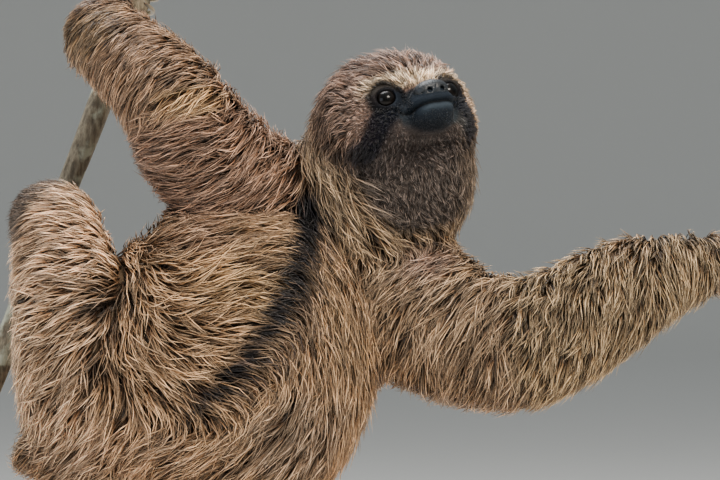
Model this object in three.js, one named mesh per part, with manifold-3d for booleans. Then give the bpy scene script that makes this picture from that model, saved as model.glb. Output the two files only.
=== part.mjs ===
// Brown-throated three-toed sloth, life size, as a still museum model.
// It clings to a cut length of branch with its left hand and both feet, reaches out with its
// right arm and looks back over its right shoulder. A flat base and two rods hold it up.
//
// Millimetres, +Z up. X runs from the branch towards the reaching arm, Y from the back towards
// the belly. Body points are given from the middle of the back; the whole model is then lifted
// and shifted so that its origin is the middle of the underside of the base.
// Every solid of the body is the outer form of the coat, out to the tips of the hair.

import * as THREE from 'three';
import { mergeVertices } from 'three/addons/utils/BufferGeometryUtils.js';
import Module from 'manifold-3d';

const wasm = await Module();
wasm.setup();

// ---- Driving dimensions ----------------------------------------------------------------

const gap = 0.3; // clearance between neighbouring solids
const fleshGap = 0.6; // the same where two wide forms meet at a slant

const spread = { trunk: 18, head: 14, limb: 12, small: 8, claw: 5 }; // sides of a section
const branchRadius = 7;
const branchSlope = { across: 0.368, away: 0.25 }; // shift along X and Y for each mm of height
const branchAtZero = { across: -189, away: 124 }; // where its axis crosses height 0
const branchEnds = { low: -222, high: 178 };

const eyeRadius = 6.5;
const eyeSpacing = 41;
const headTurn = { yaw: -65, pitch: 27, roll: 8 }; // degrees: facing, chin up, right ear down
const betweenEyes = [34.9, 35.5, 85.6];

const foreClaw = 56; // length of a claw along its curve
const hindClaw = 46;
const clawThickness = 3.2; // half height of a claw at its root
const clawSpacing = 9.5;
const palm = { wide: 16.5, thick: 9 }; // half sizes of hands and feet, with their short hair

const base = { length: 430, width: 270, thick: 18, corner: 40, bevel: 3 };
const baseCentre = { across: -88, away: 74 };
const baseTop = -292; // height of the base's upper face in body points
const rodRadius = 5;
const bellyRod = { across: -52, away: 92, top: -100 };

// Hair colours as the eye meets them from a few metres, and the stand's finishes
const coatTan = 0x8a7257;
const coatDark = 0x4b3f36;
const throatBrown = 0x4c4038;
const faceDark = 0x2b2c31;
const clawHorn = 0xb9a98a;
const barkGrey = 0x7f7a66;
const standOak = 0xb08a5a;
const standSteel = 0x8d9094;

// Stations of each form: centre, half width (wide) and half depth (deep)

const trunkForm = [
  { at: [-12, 108, -2], wide: 48, deep: 46 },
  { at: [-24, 102, -20], wide: 64, deep: 58 },
  { at: [-42, 88, -36], wide: 79, deep: 68 },
  { at: [-61, 75, -56], wide: 90, deep: 73 },
  { at: [-86, 70, -81], wide: 94, deep: 74 },
  { at: [-112, 73, -106], wide: 86, deep: 71 },
  { at: [-140, 79, -121], wide: 66, deep: 60 },
  { at: [-160, 85, -130], wide: 44, deep: 44 },
];

const neckForm = [
  { at: [22, 68, 66], wide: 51, deep: 40 },
  { at: [19, 74, 47], wide: 56, deep: 43 },
  { at: [11, 86, 24], wide: 52, deep: 46 },
  { at: [-4, 104, -2], wide: 43, deep: 45 },
];

const tailForm = [
  { at: [-160, 82, -128], wide: 17, deep: 17 },
  { at: [-182, 80, -130], wide: 15, deep: 15 },
  { at: [-197, 80, -129], wide: 10, deep: 10 },
];

// Limbs run from inside the trunk to the wrist or ankle; `joint` is the elbow's or knee's station

const leftArm = {
  side: 'left',
  joint: 3,
  form: [
    { at: [-52, 100, 13], wide: 42, deep: 41 },
    { at: [-79, 76, 39], wide: 40, deep: 38 },
    { at: [-98, 52, 60], wide: 38, deep: 35 },
    { at: [-107, 36, 78], wide: 34, deep: 30 },
    { at: [-124, 60, 97], wide: 30, deep: 28 },
    { at: [-142, 86, 112], wide: 28, deep: 26 },
    { at: [-154, 107, 122], wide: 26, deep: 24 },
  ],
};

const rightArm = {
  side: 'right',
  joint: 3,
  form: [
    { at: [14, 94, -28], wide: 44, deep: 42 },
    { at: [41, 76, -47], wide: 46, deep: 39 },
    { at: [68, 58, -59], wide: 43, deep: 36 },
    { at: [93, 45, -62], wide: 41, deep: 33 },
    { at: [117, 46, -52], wide: 39, deep: 31 },
    { at: [146, 52, -35], wide: 36, deep: 28 },
    { at: [175, 60, -21], wide: 30, deep: 25 },
    { at: [208, 70, -14], wide: 20, deep: 19 },
  ],
};

const leftLeg = {
  side: 'left',
  joint: 2,
  form: [
    { at: [-157, 76, -102], wide: 45, deep: 44 },
    { at: [-163, 56, -72], wide: 42, deep: 40 },
    { at: [-170, 40, -34], wide: 36, deep: 34 },
    { at: [-175, 52, -10], wide: 31, deep: 30 },
    { at: [-179, 74, 8], wide: 28, deep: 27 },
    { at: [-187, 94, 13], wide: 24, deep: 23 },
  ],
};

const rightLeg = {
  side: 'right',
  joint: 2,
  form: [
    { at: [-128, 100, -132], wide: 44, deep: 42 },
    { at: [-142, 84, -160], wide: 41, deep: 38 },
    { at: [-152, 64, -194], wide: 35, deep: 32 },
    { at: [-172, 56, -194], wide: 30, deep: 29 },
    { at: [-190, 50, -184], wide: 26, deep: 25 },
    { at: [-203, 48, -170], wide: 23, deep: 22 },
  ],
};

// ---- Shape helpers ---------------------------------------------------------------------

const vec = ([x, y, z]) => new THREE.Vector3(x, y, z);
const worldAway = new THREE.Vector3(0, 1, 0);

function toSolid(geometry) {
  const bare = geometry.clone();
  bare.deleteAttribute('normal');
  bare.deleteAttribute('uv');
  const merged = mergeVertices(bare, 1e-4);
  return new wasm.Manifold(
    new wasm.Mesh({
      numProp: 3,
      vertProperties: Float32Array.from(merged.attributes.position.array),
      triVerts: Uint32Array.from(merged.index.array),
    }),
  );
}

function toMesh(name, solid, colour, roughness = 0.9, metalness = 0) {
  const cut = solid.getMesh();
  const points = new Float32Array(cut.numVert * 3);
  for (let i = 0; i < cut.numVert; i += 1) {
    points.set(cut.vertProperties.slice(i * cut.numProp, i * cut.numProp + 3), i * 3);
  }
  const geometry = new THREE.BufferGeometry();
  geometry.setAttribute('position', new THREE.BufferAttribute(points, 3));
  geometry.setIndex([...cut.triVerts]);
  geometry.computeVertexNormals();
  const finish = new THREE.MeshStandardMaterial({ color: colour, roughness, metalness });
  const mesh = new THREE.Mesh(geometry, finish);
  mesh.name = name;
  return mesh;
}

// Smooth value through evenly spaced samples, by Catmull-Rom
function smoothValue(values, t) {
  const place = t * (values.length - 1);
  const i = Math.min(Math.floor(place), values.length - 2);
  const u = place - i;
  const at = (k) => values[Math.min(Math.max(k, 0), values.length - 1)];
  const [a, b, c, d] = [at(i - 1), at(i), at(i + 1), at(i + 2)];
  const slope = c - a;
  const bend = 2 * a - 5 * b + 4 * c - d;
  const twist = 3 * (b - c) + d - a;
  return b + 0.5 * u * (slope + u * (bend + u * twist));
}

const lineThrough = (form) =>
  new THREE.CatmullRomCurve3(form.map((s) => vec(s.at)), false, 'chordal');

// A closed form around a smooth line through its stations. Sections are ellipses: the deep
// axis stays nearest to `deepAxis`. Both ends are rounded by `cap` times the end's radius.
// `parallel` keeps all sections square to the line's chord, for forms wider than they bend.
function loft(form, options = {}) {
  const { sides = spread.limb, rings = 8, cap = 0.9, grow = 0, deepAxis = worldAway } = options;
  const { capRings = 2, parallel = false } = options;
  const line = lineThrough(form);
  const chord = line.getPoint(1).sub(line.getPoint(0)).normalize();
  const sections = [];
  const addSection = (centre, tangent, wide, deep) => {
    const deepWay = deepAxis.clone().addScaledVector(tangent, -deepAxis.dot(tangent)).normalize();
    const wideWay = new THREE.Vector3().crossVectors(deepWay, tangent).normalize();
    sections.push({ centre, deepWay, wideWay, wide, deep });
  };
  const sample = (t) => ({
    centre: line.getPoint(t),
    tangent: parallel ? chord : line.getTangent(t),
    wide: smoothValue(form.map((s) => s.wide), t) + grow,
    deep: smoothValue(form.map((s) => s.deep), t) + grow,
  });
  const addCap = (end, outward) => {
    const reach = cap * (Math.min(end.wide, end.deep) - grow) + grow;
    const turns = [...Array(capRings).keys()].map((k) => ((k + 1) / (capRings + 1)) * (Math.PI / 2));
    const order = outward < 0 ? turns.reverse() : turns;
    for (const turn of order) {
      const centre = end.centre.clone().addScaledVector(end.tangent, outward * reach * Math.sin(turn));
      addSection(centre, end.tangent, end.wide * Math.cos(turn), end.deep * Math.cos(turn));
    }
    return end.centre.clone().addScaledVector(end.tangent, outward * reach);
  };
  const first = sample(0);
  const last = sample(1);
  const startPole = addCap(first, -1);
  for (let k = 0; k <= rings; k += 1) {
    const here = sample(k / rings);
    addSection(here.centre, here.tangent, here.wide, here.deep);
  }
  const endPole = addCap(last, 1);
  return closedSkin(sections, sides, startPole, endPole);
}

function closedSkin(sections, sides, startPole, endPole) {
  const points = [];
  for (const s of sections) {
    for (let k = 0; k < sides; k += 1) {
      const turn = (k / sides) * Math.PI * 2;
      const p = s.centre.clone();
      p.addScaledVector(s.wideWay, s.wide * Math.cos(turn));
      p.addScaledVector(s.deepWay, s.deep * Math.sin(turn));
      points.push(p.x, p.y, p.z);
    }
  }
  const startAt = points.length / 3;
  points.push(startPole.x, startPole.y, startPole.z);
  points.push(endPole.x, endPole.y, endPole.z);
  const faces = [];
  const lastRing = (sections.length - 1) * sides;
  for (let k = 0; k < sides; k += 1) {
    const next = (k + 1) % sides;
    faces.push(startAt, next, k);
    faces.push(startAt + 1, lastRing + k, lastRing + next);
    for (let ring = 0; ring < lastRing; ring += sides) {
      faces.push(ring + k, ring + next, ring + sides + next);
      faces.push(ring + k, ring + sides + next, ring + sides + k);
    }
  }
  const geometry = new THREE.BufferGeometry();
  geometry.setAttribute('position', new THREE.BufferAttribute(Float32Array.from(points), 3));
  geometry.setIndex(faces);
  return toSolid(geometry);
}

const cutAway = (solid, ...others) => others.reduce((left, other) => left.subtract(other), solid);

// A block that fills the far side (1) or near side (-1) of the plane across a form's line at
// one of its stations, half a gap from it
function sideOf(form, station, side) {
  const size = 400;
  const along = station / (form.length - 1);
  const line = lineThrough(form);
  const way = line.getTangent(along);
  const block = new THREE.BoxGeometry(size, size, size);
  block.applyQuaternion(new THREE.Quaternion().setFromUnitVectors(new THREE.Vector3(0, 0, 1), way));
  const centre = line.getPoint(along).addScaledVector(way, side * (size / 2 + gap / 2));
  block.translate(centre.x, centre.y, centre.z);
  return toSolid(block);
}

// ---- Head directions -------------------------------------------------------------------

const degrees = THREE.MathUtils.degToRad;

function headFrame() {
  const { yaw, pitch, roll } = headTurn;
  const level = new THREE.Vector3(Math.cos(degrees(yaw)), Math.sin(degrees(yaw)), 0);
  const forward = level.clone().multiplyScalar(Math.cos(degrees(pitch)));
  forward.z = Math.sin(degrees(pitch));
  const levelRight = new THREE.Vector3().crossVectors(level, new THREE.Vector3(0, 0, 1));
  const right = levelRight.applyAxisAngle(forward, degrees(roll));
  const up = new THREE.Vector3().crossVectors(right, forward);
  return { right, forward, up };
}

const head = headFrame();

// A point of the face: how far to the animal's right, ahead of and above the point between its eyes
function facePoint(toRight, ahead, above) {
  const p = vec(betweenEyes);
  p.addScaledVector(head.right, toRight);
  p.addScaledVector(head.forward, ahead);
  p.addScaledVector(head.up, above);
  return p;
}

const faceForm = (stations) =>
  stations.map(({ ahead, above, wide, high }) => ({
    at: facePoint(0, ahead, above).toArray(),
    wide,
    deep: high,
  }));

const ball = (centre, radius) => {
  const geometry = new THREE.SphereGeometry(radius, 10, 6);
  geometry.translate(centre.x, centre.y, centre.z);
  return toSolid(geometry);
};

// ---- Body ------------------------------------------------------------------------------

const headShape = (grow) =>
  loft(
    faceForm([
      { ahead: -68, above: -1, wide: 30, high: 27 },
      { ahead: -52, above: 2, wide: 44, high: 36 },
      { ahead: -34, above: 3, wide: 51, high: 39 },
      { ahead: -18, above: 3, wide: 49, high: 38 },
      { ahead: -8, above: 3, wide: 41, high: 33 },
      { ahead: -2, above: 3, wide: 31, high: 25 },
    ]),
    { sides: spread.head, rings: 9, cap: 0.2, grow, deepAxis: head.up },
  );

const muzzleShape = (grow) =>
  loft(
    faceForm([
      { ahead: -6, above: -12, wide: 20, high: 14 },
      { ahead: 5, above: -13, wide: 16.5, high: 13 },
      { ahead: 11, above: -13, wide: 14, high: 11 },
      { ahead: 15, above: -12.5, wide: 11, high: 9 },
    ]),
    { rings: 5, cap: 0.5, grow, deepAxis: head.up },
  );

const noseShape = (grow) =>
  loft(
    faceForm([
      { ahead: 8, above: -5, wide: 8, high: 4 },
      { ahead: 14, above: -6, wide: 9, high: 5.5 },
      { ahead: 17.5, above: -7, wide: 8, high: 5 },
    ]),
    { sides: spread.small, rings: 3, cap: 0.5, grow, deepAxis: head.up },
  );

const eyeCentre = (side) => facePoint((side * eyeSpacing) / 2, -5, 0);
const eyeShape = (side, grow) => ball(eyeCentre(side), eyeRadius + grow);

const trunkShape = (grow) =>
  loft(trunkForm, { sides: spread.trunk, rings: 11, capRings: 3, cap: 0.8, parallel: true, grow });
const neckShape = (grow) =>
  loft(neckForm, { sides: spread.head, rings: 5, cap: 0.6, parallel: true, grow });
const tailShape = (grow) => loft(tailForm, { sides: spread.small, rings: 4, cap: 0.8, grow });

function branchPoint(height) {
  return new THREE.Vector3(
    branchAtZero.across + branchSlope.across * height,
    branchAtZero.away + branchSlope.away * height,
    height,
  );
}

function branchShape(grow) {
  const stations = 9;
  const form = [...Array(stations).keys()].map((k) => {
    const height = branchEnds.low + ((branchEnds.high - branchEnds.low) * k) / (stations - 1);
    const swell = 0.5 * Math.cos(k * 2.1);
    return {
      at: branchPoint(height).toArray(),
      wide: branchRadius + swell,
      deep: branchRadius + swell,
    };
  });
  return loft(form, { sides: spread.small, rings: 9, cap: 0.05, capRings: 1, grow });
}

// ---- Hands, feet and claws -------------------------------------------------------------

const branchWay = branchPoint(1).sub(branchPoint(0)).normalize();

// Axes of a hand or foot: `across` over its three claws, `back` away from the palm and `ahead`
// along the palm towards the claws
function palmAxes(across, backHint) {
  const back = vec(backHint).addScaledVector(across, -vec(backHint).dot(across)).normalize();
  const ahead = new THREE.Vector3().crossVectors(across, back).normalize();
  return { across, back, ahead };
}

// A hand or foot that holds the branch: its palm lies on the bark, its claws go round behind
function holdingGrip({ height, backHint, claw }) {
  const across = branchWay.clone().negate();
  const axes = palmAxes(across, backHint);
  const middle = branchPoint(height);
  const knuckles = middle.clone().addScaledVector(axes.back, branchRadius + palm.thick + 1);
  knuckles.addScaledVector(axes.ahead, 3);
  const hookCentre = middle.clone().addScaledVector(axes.back, 3);
  return { ...axes, knuckles, hookCentre, hookRadius: 14, hookStart: 12, claw };
}

// The free hand: its claws curl back under the palm
function freeGrip({ knuckles, across, backHint, claw }) {
  const axes = palmAxes(vec(across).normalize(), backHint);
  const hookRadius = 27;
  const hookCentre = vec(knuckles).addScaledVector(axes.back, -hookRadius * 0.95);
  return { ...axes, knuckles: vec(knuckles), hookCentre, hookRadius, hookStart: 0, claw };
}

function palmShape(wrist, grip, grow) {
  const from = vec(wrist.at);
  const form = [
    wrist,
    { at: from.clone().lerp(grip.knuckles, 0.5), wide: palm.thick * 1.45, deep: palm.wide * 1.1 },
    { at: grip.knuckles.clone().addScaledVector(grip.ahead, -8), wide: palm.thick, deep: palm.wide },
    { at: grip.knuckles, wide: palm.thick * 0.8, deep: palm.wide * 0.92 },
  ];
  const stations = form.map((s) => ({ ...s, at: s.at.isVector3 ? s.at.toArray() : s.at }));
  return loft(stations, { rings: 6, cap: 0.5, grow, deepAxis: grip.across });
}

// One claw: a flattened, tapering hook round `centre`, as long as `length` along its curve
function clawShape(centre, grip) {
  const stations = 6;
  const sweep = grip.claw / grip.hookRadius;
  const form = [...Array(stations).keys()].map((k) => {
    const part = k / (stations - 1);
    const turn = degrees(grip.hookStart) + sweep * part;
    const at = centre.clone();
    at.addScaledVector(grip.back, grip.hookRadius * Math.cos(turn));
    at.addScaledVector(grip.ahead, grip.hookRadius * Math.sin(turn));
    const size = clawThickness * (1 - 0.78 * part);
    return { at: at.toArray(), wide: size, deep: size * 0.8 };
  });
  return loft(form, { sides: spread.claw, rings: 6, cap: 0.4, capRings: 1, deepAxis: grip.across });
}

// ---- Limbs -----------------------------------------------------------------------------

// A limb's two lengths join at the elbow or knee and are parted again by a plane across it;
// another plane parts the hand or foot at the wrist or ankle
function limbPieces(limb, names, grip, trunkSide) {
  const [upperName, lowerName, handName] = names.map((n) => `${n}_${limb.side}`);
  const { form, joint } = limb;
  const wrist = form.length - 1;
  const upper = loft(form.slice(0, joint + 1), { rings: 6 });
  const lower = (grow) => loft(form.slice(joint), { rings: 6, grow });
  const withPalm = (grow) => lower(grow).add(palmShape(form[wrist], grip, grow));
  const arm = upper.add(lower(0));
  const shoulderPart = cutAway(arm.intersect(sideOf(form, joint, -1)), ...trunkSide);
  const wristPart = arm.intersect(sideOf(form, joint, 1)).intersect(sideOf(form, wrist, -1));
  const hand = withPalm(0).intersect(sideOf(form, wrist, 1));
  const claws = [-1, 0, 1].map((place) => {
    const centre = grip.hookCentre.clone().addScaledVector(grip.across, place * clawSpacing);
    const claw = cutAway(clawShape(centre, grip), withPalm(gap));
    return toMesh(`${handName}_claw_${place + 2}`, claw, clawHorn, 0.45);
  });
  return [
    toMesh(upperName, shoulderPart, coatTan),
    toMesh(lowerName, cutAway(wristPart, ...trunkSide), coatTan),
    toMesh(handName, cutAway(hand, branchShape(gap)), coatDark),
    ...claws,
  ];
}

const grips = {
  leftHand: holdingGrip({ height: 152, backHint: [-1, -0.15, 0], claw: foreClaw }),
  leftFoot: holdingGrip({ height: 9, backHint: [-1, -0.1, 0], claw: hindClaw }),
  rightFoot: holdingGrip({ height: -148, backHint: [0.55, -1, 0], claw: hindClaw }),
  rightHand: freeGrip({
    knuckles: [254, 84, -10],
    across: [-0.1, 0.35, 1],
    backHint: [-0.1, -1, 0.35],
    claw: foreClaw,
  }),
};

// ---- Head and trunk --------------------------------------------------------------------

function bodyPieces() {
  const trunkSide = [trunkShape(fleshGap), neckShape(fleshGap), headShape(fleshGap)];
  const sockets = [eyeShape(1, gap), eyeShape(-1, gap)];
  return [
    toMesh('trunk', trunkShape(0), coatTan),
    toMesh('neck', cutAway(neckShape(0), trunkShape(fleshGap), headShape(gap)), throatBrown),
    toMesh('head', cutAway(headShape(0), ...sockets), coatTan),
    toMesh('muzzle', cutAway(muzzleShape(0), headShape(gap), neckShape(gap), ...sockets), faceDark, 0.7),
    toMesh('nose', cutAway(noseShape(0), muzzleShape(gap)), faceDark, 0.4),
    toMesh('eye_right', eyeShape(1, 0), faceDark, 0.1),
    toMesh('eye_left', eyeShape(-1, 0), faceDark, 0.1),
    toMesh('tail', cutAway(tailShape(0), trunkShape(gap)), coatTan),
    ...limbPieces(leftArm, ['upper_arm', 'forearm', 'hand'], grips.leftHand, trunkSide),
    ...limbPieces(rightArm, ['upper_arm', 'forearm', 'hand'], grips.rightHand, trunkSide),
    ...limbPieces(leftLeg, ['thigh', 'shank', 'foot'], grips.leftFoot, trunkSide),
    ...limbPieces(rightLeg, ['thigh', 'shank', 'foot'], grips.rightFoot, trunkSide),
  ];
}

// ---- Branch and stand ------------------------------------------------------------------

function baseShape() {
  const { length, width, thick, corner, bevel } = base;
  const [halfLength, halfWidth] = [length / 2 - corner, width / 2 - corner];
  const outline = new THREE.Shape();
  outline.absarc(halfLength, halfWidth, corner, 0, Math.PI / 2);
  outline.absarc(-halfLength, halfWidth, corner, Math.PI / 2, Math.PI);
  outline.absarc(-halfLength, -halfWidth, corner, Math.PI, Math.PI * 1.5);
  outline.absarc(halfLength, -halfWidth, corner, Math.PI * 1.5, Math.PI * 2);
  outline.closePath();
  const geometry = new THREE.ExtrudeGeometry(outline, {
    depth: thick - 2 * bevel,
    bevelThickness: bevel,
    bevelSize: bevel,
    bevelOffset: -bevel,
    bevelSegments: 1,
    curveSegments: 3,
  });
  geometry.translate(baseCentre.across, baseCentre.away, baseTop - thick + bevel);
  return toSolid(geometry);
}

function rodShape(across, away, top) {
  const length = top - (baseTop + gap);
  const geometry = new THREE.CylinderGeometry(rodRadius, rodRadius, length, 12);
  geometry.rotateX(Math.PI / 2);
  geometry.translate(across, away, top - length / 2);
  return toSolid(geometry);
}

function standPieces() {
  const foot = branchPoint(branchEnds.low + 8);
  const rodToBranch = cutAway(rodShape(foot.x, foot.y, foot.z), branchShape(gap));
  const rodToBelly = rodShape(bellyRod.across, bellyRod.away, bellyRod.top);
  return [
    toMesh('branch', branchShape(0), barkGrey, 0.85),
    toMesh('stand_base', baseShape(), standOak, 0.5),
    toMesh('stand_rod_branch', rodToBranch, standSteel, 0.3, 1),
    toMesh('stand_rod_belly', cutAway(rodToBelly, trunkShape(gap)), standSteel, 0.3, 1),
  ];
}

const sloth = new THREE.Group();
sloth.add(...bodyPieces(), ...standPieces());
sloth.position.set(-baseCentre.across, -baseCentre.away, base.thick - baseTop);

export default sloth;
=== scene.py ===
"""Looks of a life-size three-toed sloth on its cut branch and display stand.

All forms of the animal are worked out in millimetres from the middle of its back, with X
towards the reaching arm, Y from back to belly and Z up, and turned into metres of the frame
only when a mesh is made. The coat is built in layers: one skin under everything, then locks
of hair that are walked over the skin along the lie of the coat.
"""

import itertools
import math

import bpy
import numpy as np
import openvdb
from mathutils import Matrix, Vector
from mathutils.bvhtree import BVHTree
from mathutils.kdtree import KDTree


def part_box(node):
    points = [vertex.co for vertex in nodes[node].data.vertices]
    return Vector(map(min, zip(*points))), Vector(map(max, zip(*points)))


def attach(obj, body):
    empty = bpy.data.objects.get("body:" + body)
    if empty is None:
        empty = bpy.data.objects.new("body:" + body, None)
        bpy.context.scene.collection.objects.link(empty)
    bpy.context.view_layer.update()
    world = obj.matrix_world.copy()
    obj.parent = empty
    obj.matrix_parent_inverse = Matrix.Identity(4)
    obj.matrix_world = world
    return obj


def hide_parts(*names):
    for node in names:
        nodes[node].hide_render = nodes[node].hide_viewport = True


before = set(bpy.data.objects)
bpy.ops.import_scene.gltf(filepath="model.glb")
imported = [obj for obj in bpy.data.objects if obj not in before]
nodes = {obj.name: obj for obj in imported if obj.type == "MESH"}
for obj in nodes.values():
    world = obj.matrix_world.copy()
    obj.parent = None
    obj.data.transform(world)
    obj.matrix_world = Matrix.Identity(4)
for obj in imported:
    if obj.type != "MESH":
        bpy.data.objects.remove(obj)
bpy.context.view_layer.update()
rng = np.random.default_rng(20)

MM = 0.001
back_in_row = np.array([88.0, -74.0, 310.0])  # the middle of the back, from under the base


def to_row(points):
    """Millimetres from the middle of the back, as metres of the frame."""
    return (np.asarray(points, float) + back_in_row) * MM


def from_row(points):
    return np.asarray(points, float) / MM - back_in_row


def node_box(name):
    """Lowest and highest corner of a CAD piece, in millimetres."""
    return from_row(np.array(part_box(name)))


def unit(vectors):
    vectors = np.asarray(vectors, float)
    return vectors / np.maximum(np.linalg.norm(vectors, axis=-1, keepdims=True), 1e-9)


def smoothstep(low, high, value):
    t = np.clip((value - low) / (high - low), 0.0, 1.0)
    return t * t * (3.0 - 2.0 * t)


def linear(hex_colour):
    """An sRGB hex colour as linear red, green and blue."""
    parts = np.array([int(hex_colour[k : k + 2], 16) / 255 for k in (1, 3, 5)])
    return np.where(parts <= 0.04045, parts / 12.92, ((parts + 0.055) / 1.055) ** 2.4)


# ---- Camera, floor and light ---------------------------------------------------------------

camera_back = 2440.0  # behind the middle of the back
film_mm = 36.0
lens_mm = 212.5
far_end = 20.0  # metres
lights = {  # place and size in metres, watts, colour
    "key_softbox": ((1.0, -1.6, 2.1), (0.9, 0.7), 88.0, "#fff4e6"),
    "fill_softbox": ((-2.0, -1.6, 0.9), (1.4, 1.2), 16.0, "#eaf2ff"),
    "top_softbox": ((-0.3, 0.6, 2.2), (1.4, 1.0), 60.0, "#ffffff"),
}
lit_place = (0.08, 0.0, 0.30)
air_colour, air_strength = "#e8ecef", 0.5


def make_camera():
    data = bpy.data.cameras.new("camera")
    data.sensor_width = film_mm
    data.lens = lens_mm
    data.clip_end = far_end
    camera = bpy.data.objects.new("camera", data)
    camera.location = to_row((0.0, -camera_back, 0.0))
    camera.rotation_euler = (math.radians(90), 0.0, 0.0)
    bpy.context.scene.collection.objects.link(camera)
    bpy.context.scene.camera = camera


def make_lights():
    for name, (spot, size, watts, colour) in lights.items():
        data = bpy.data.lights.new(name, "AREA")
        data.shape = "RECTANGLE"
        data.size, data.size_y = size
        data.energy = watts
        data.color = linear(colour)
        light = bpy.data.objects.new(name, data)
        light.location = spot
        way = Vector(lit_place) - Vector(spot)
        light.rotation_euler = way.to_track_quat("-Z", "Y").to_euler()
        bpy.context.scene.collection.objects.link(light)
    world = bpy.data.worlds.new("studio_air")
    world.use_nodes = True
    air = world.node_tree.nodes["Background"]
    wire(air, {"Color": painted(air_colour), "Strength": air_strength})
    bpy.context.scene.world = world


def make_floor():
    """A pale round floor that turns up into a low wall all round the model, in metres."""
    flat, bend, tall, around, steps = 9.0, 2.5, 6.0, 72, 12
    inner = flat * np.arange(1, 6) / 6
    turns = np.radians(np.linspace(0, 90, steps + 1))
    reach = np.concatenate([inner, flat + bend * np.sin(turns), [flat + bend]])
    height = np.concatenate([0 * inner, bend - bend * np.cos(turns), [tall]])
    points = turned_rings(reach, height, around).reshape(-1, 3)
    middle = len(points)
    fan = [(middle, k, (k + 1) % around) for k in range(around)]
    wall = ring_quads(len(reach), around)[:, ::-1]
    mesh = bpy.data.meshes.new("floor")
    mesh.from_pydata([*points.tolist(), (0.0, 0.0, 0.0)], [], fan + wall.tolist())
    mesh.shade_smooth()
    mesh.materials.append(studio_paper())
    floor = bpy.data.objects.new("floor", mesh)
    bpy.context.scene.collection.objects.link(floor)


# ---- Materials -----------------------------------------------------------------------------

blended = {"data_type": "RGBA", "blend_type": "MIX"}
multiplied = {"data_type": "RGBA", "blend_type": "MULTIPLY"}


def painted(colour):
    """A hex colour, or a plain number as a grey, in the form that a colour input takes."""
    return (*(linear(colour) if isinstance(colour, str) else (colour,) * 3), 1.0)


def wire(node, inputs):
    """Gives inputs, by name or number, a value or a link from another node's output."""
    for key, value in inputs.items():
        if isinstance(value, bpy.types.NodeSocket):
            node.id_data.links.new(value, node.inputs[key])
        else:
            node.inputs[key].default_value = value


def add(tree, kind, inputs, settings=None, stops=(), out=0):
    """Adds a node with its inputs, settings and colour stops, and returns one output."""
    node = tree.nodes.new("ShaderNode" + kind)
    for key, value in (settings or {}).items():
        setattr(node, key, value)
    for k, (place, colour) in enumerate(stops):
        elements = node.color_ramp.elements
        element = elements[k] if k < len(elements) else elements.new(place)
        element.position = place
        element.color = painted(colour)
    wire(node, inputs)
    return node.outputs[out]


def new_material(name):
    """A material, its node tree and the surface's own place in metres."""
    material = bpy.data.materials.new(name)
    material.use_nodes = True
    tree = material.node_tree
    return material, tree, add(tree, "TexCoord", {}, out="Object")


def finished(material, surface):
    wire(material.node_tree.nodes["Principled BSDF"], surface)
    return material


def studio_paper():
    """Matt paper roll: it gives the eye nothing but an even pale ground."""
    material, tree, spot = new_material("studio_paper")
    grain_mm = 10 / 9  # coarser than real paper's, to show at all
    grain = add(tree, "TexNoise", {0: spot, "Scale": 1 / (grain_mm * MM)})
    tone = add(tree, "ValToRGB", {0: grain}, stops=[(0.3, "#d5d6d3"), (0.7, "#d9dad7")])
    return finished(material, {"Base Color": tone, "Roughness": 0.95})


def long_hair():
    """Coarse guard hair: dark at the root, straw at the tip, each lock its own tone."""
    material, tree, spot = new_material("coarse_guard_hair")
    fleck_mm = 1.4
    along = add(tree, "Attribute", {}, {"attribute_name": "along"}, out="Fac")
    tone = add(tree, "Attribute", {}, {"attribute_name": "tone"}, out="Fac")
    shade = add(tree, "Attribute", {}, {"attribute_name": "shade"}, out="Color")
    stops = [(0.0, "#3e2c1f"), (0.3, "#786654"), (0.65, "#e2dcd4"), (1.0, "#ffffff")]
    light = add(tree, "ValToRGB", {0: along}, stops=stops)
    stops = [(0.0, 0.14), (0.4, 0.5), (0.7, 1.05), (0.85, 1.8), (1.0, 2.7)]
    lock = add(tree, "ValToRGB", {0: tone}, stops=stops)
    tips = add(tree, "HueSaturation", {"Saturation": 0.85, "Value": 1.25, "Color": shade})
    bleached = add(tree, "ValToRGB", {0: along}, stops=[(0.45, 0.0), (0.95, 1.0)])
    weathered = add(tree, "Mix", {0: bleached, 6: shade, 7: tips}, blended, out=2)
    coloured = add(tree, "Mix", {0: 1.0, 6: weathered, 7: light}, multiplied, out=2)
    toned = add(tree, "Mix", {0: 1.0, 6: coloured, 7: lock}, multiplied, out=2)
    flecks = add(tree, "TexNoise", {0: spot, "Scale": 1 / (fleck_mm * MM), "Detail": 2.0})
    specks = add(tree, "ValToRGB", {0: flecks}, stops=[(0.3, 0.82), (0.7, 1.15)])
    hair = add(tree, "Mix", {0: 1.0, 6: toned, 7: specks}, multiplied, out=2)
    return finished(material, {"Base Color": hair, "Roughness": 0.5, "IOR": 1.55})


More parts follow.
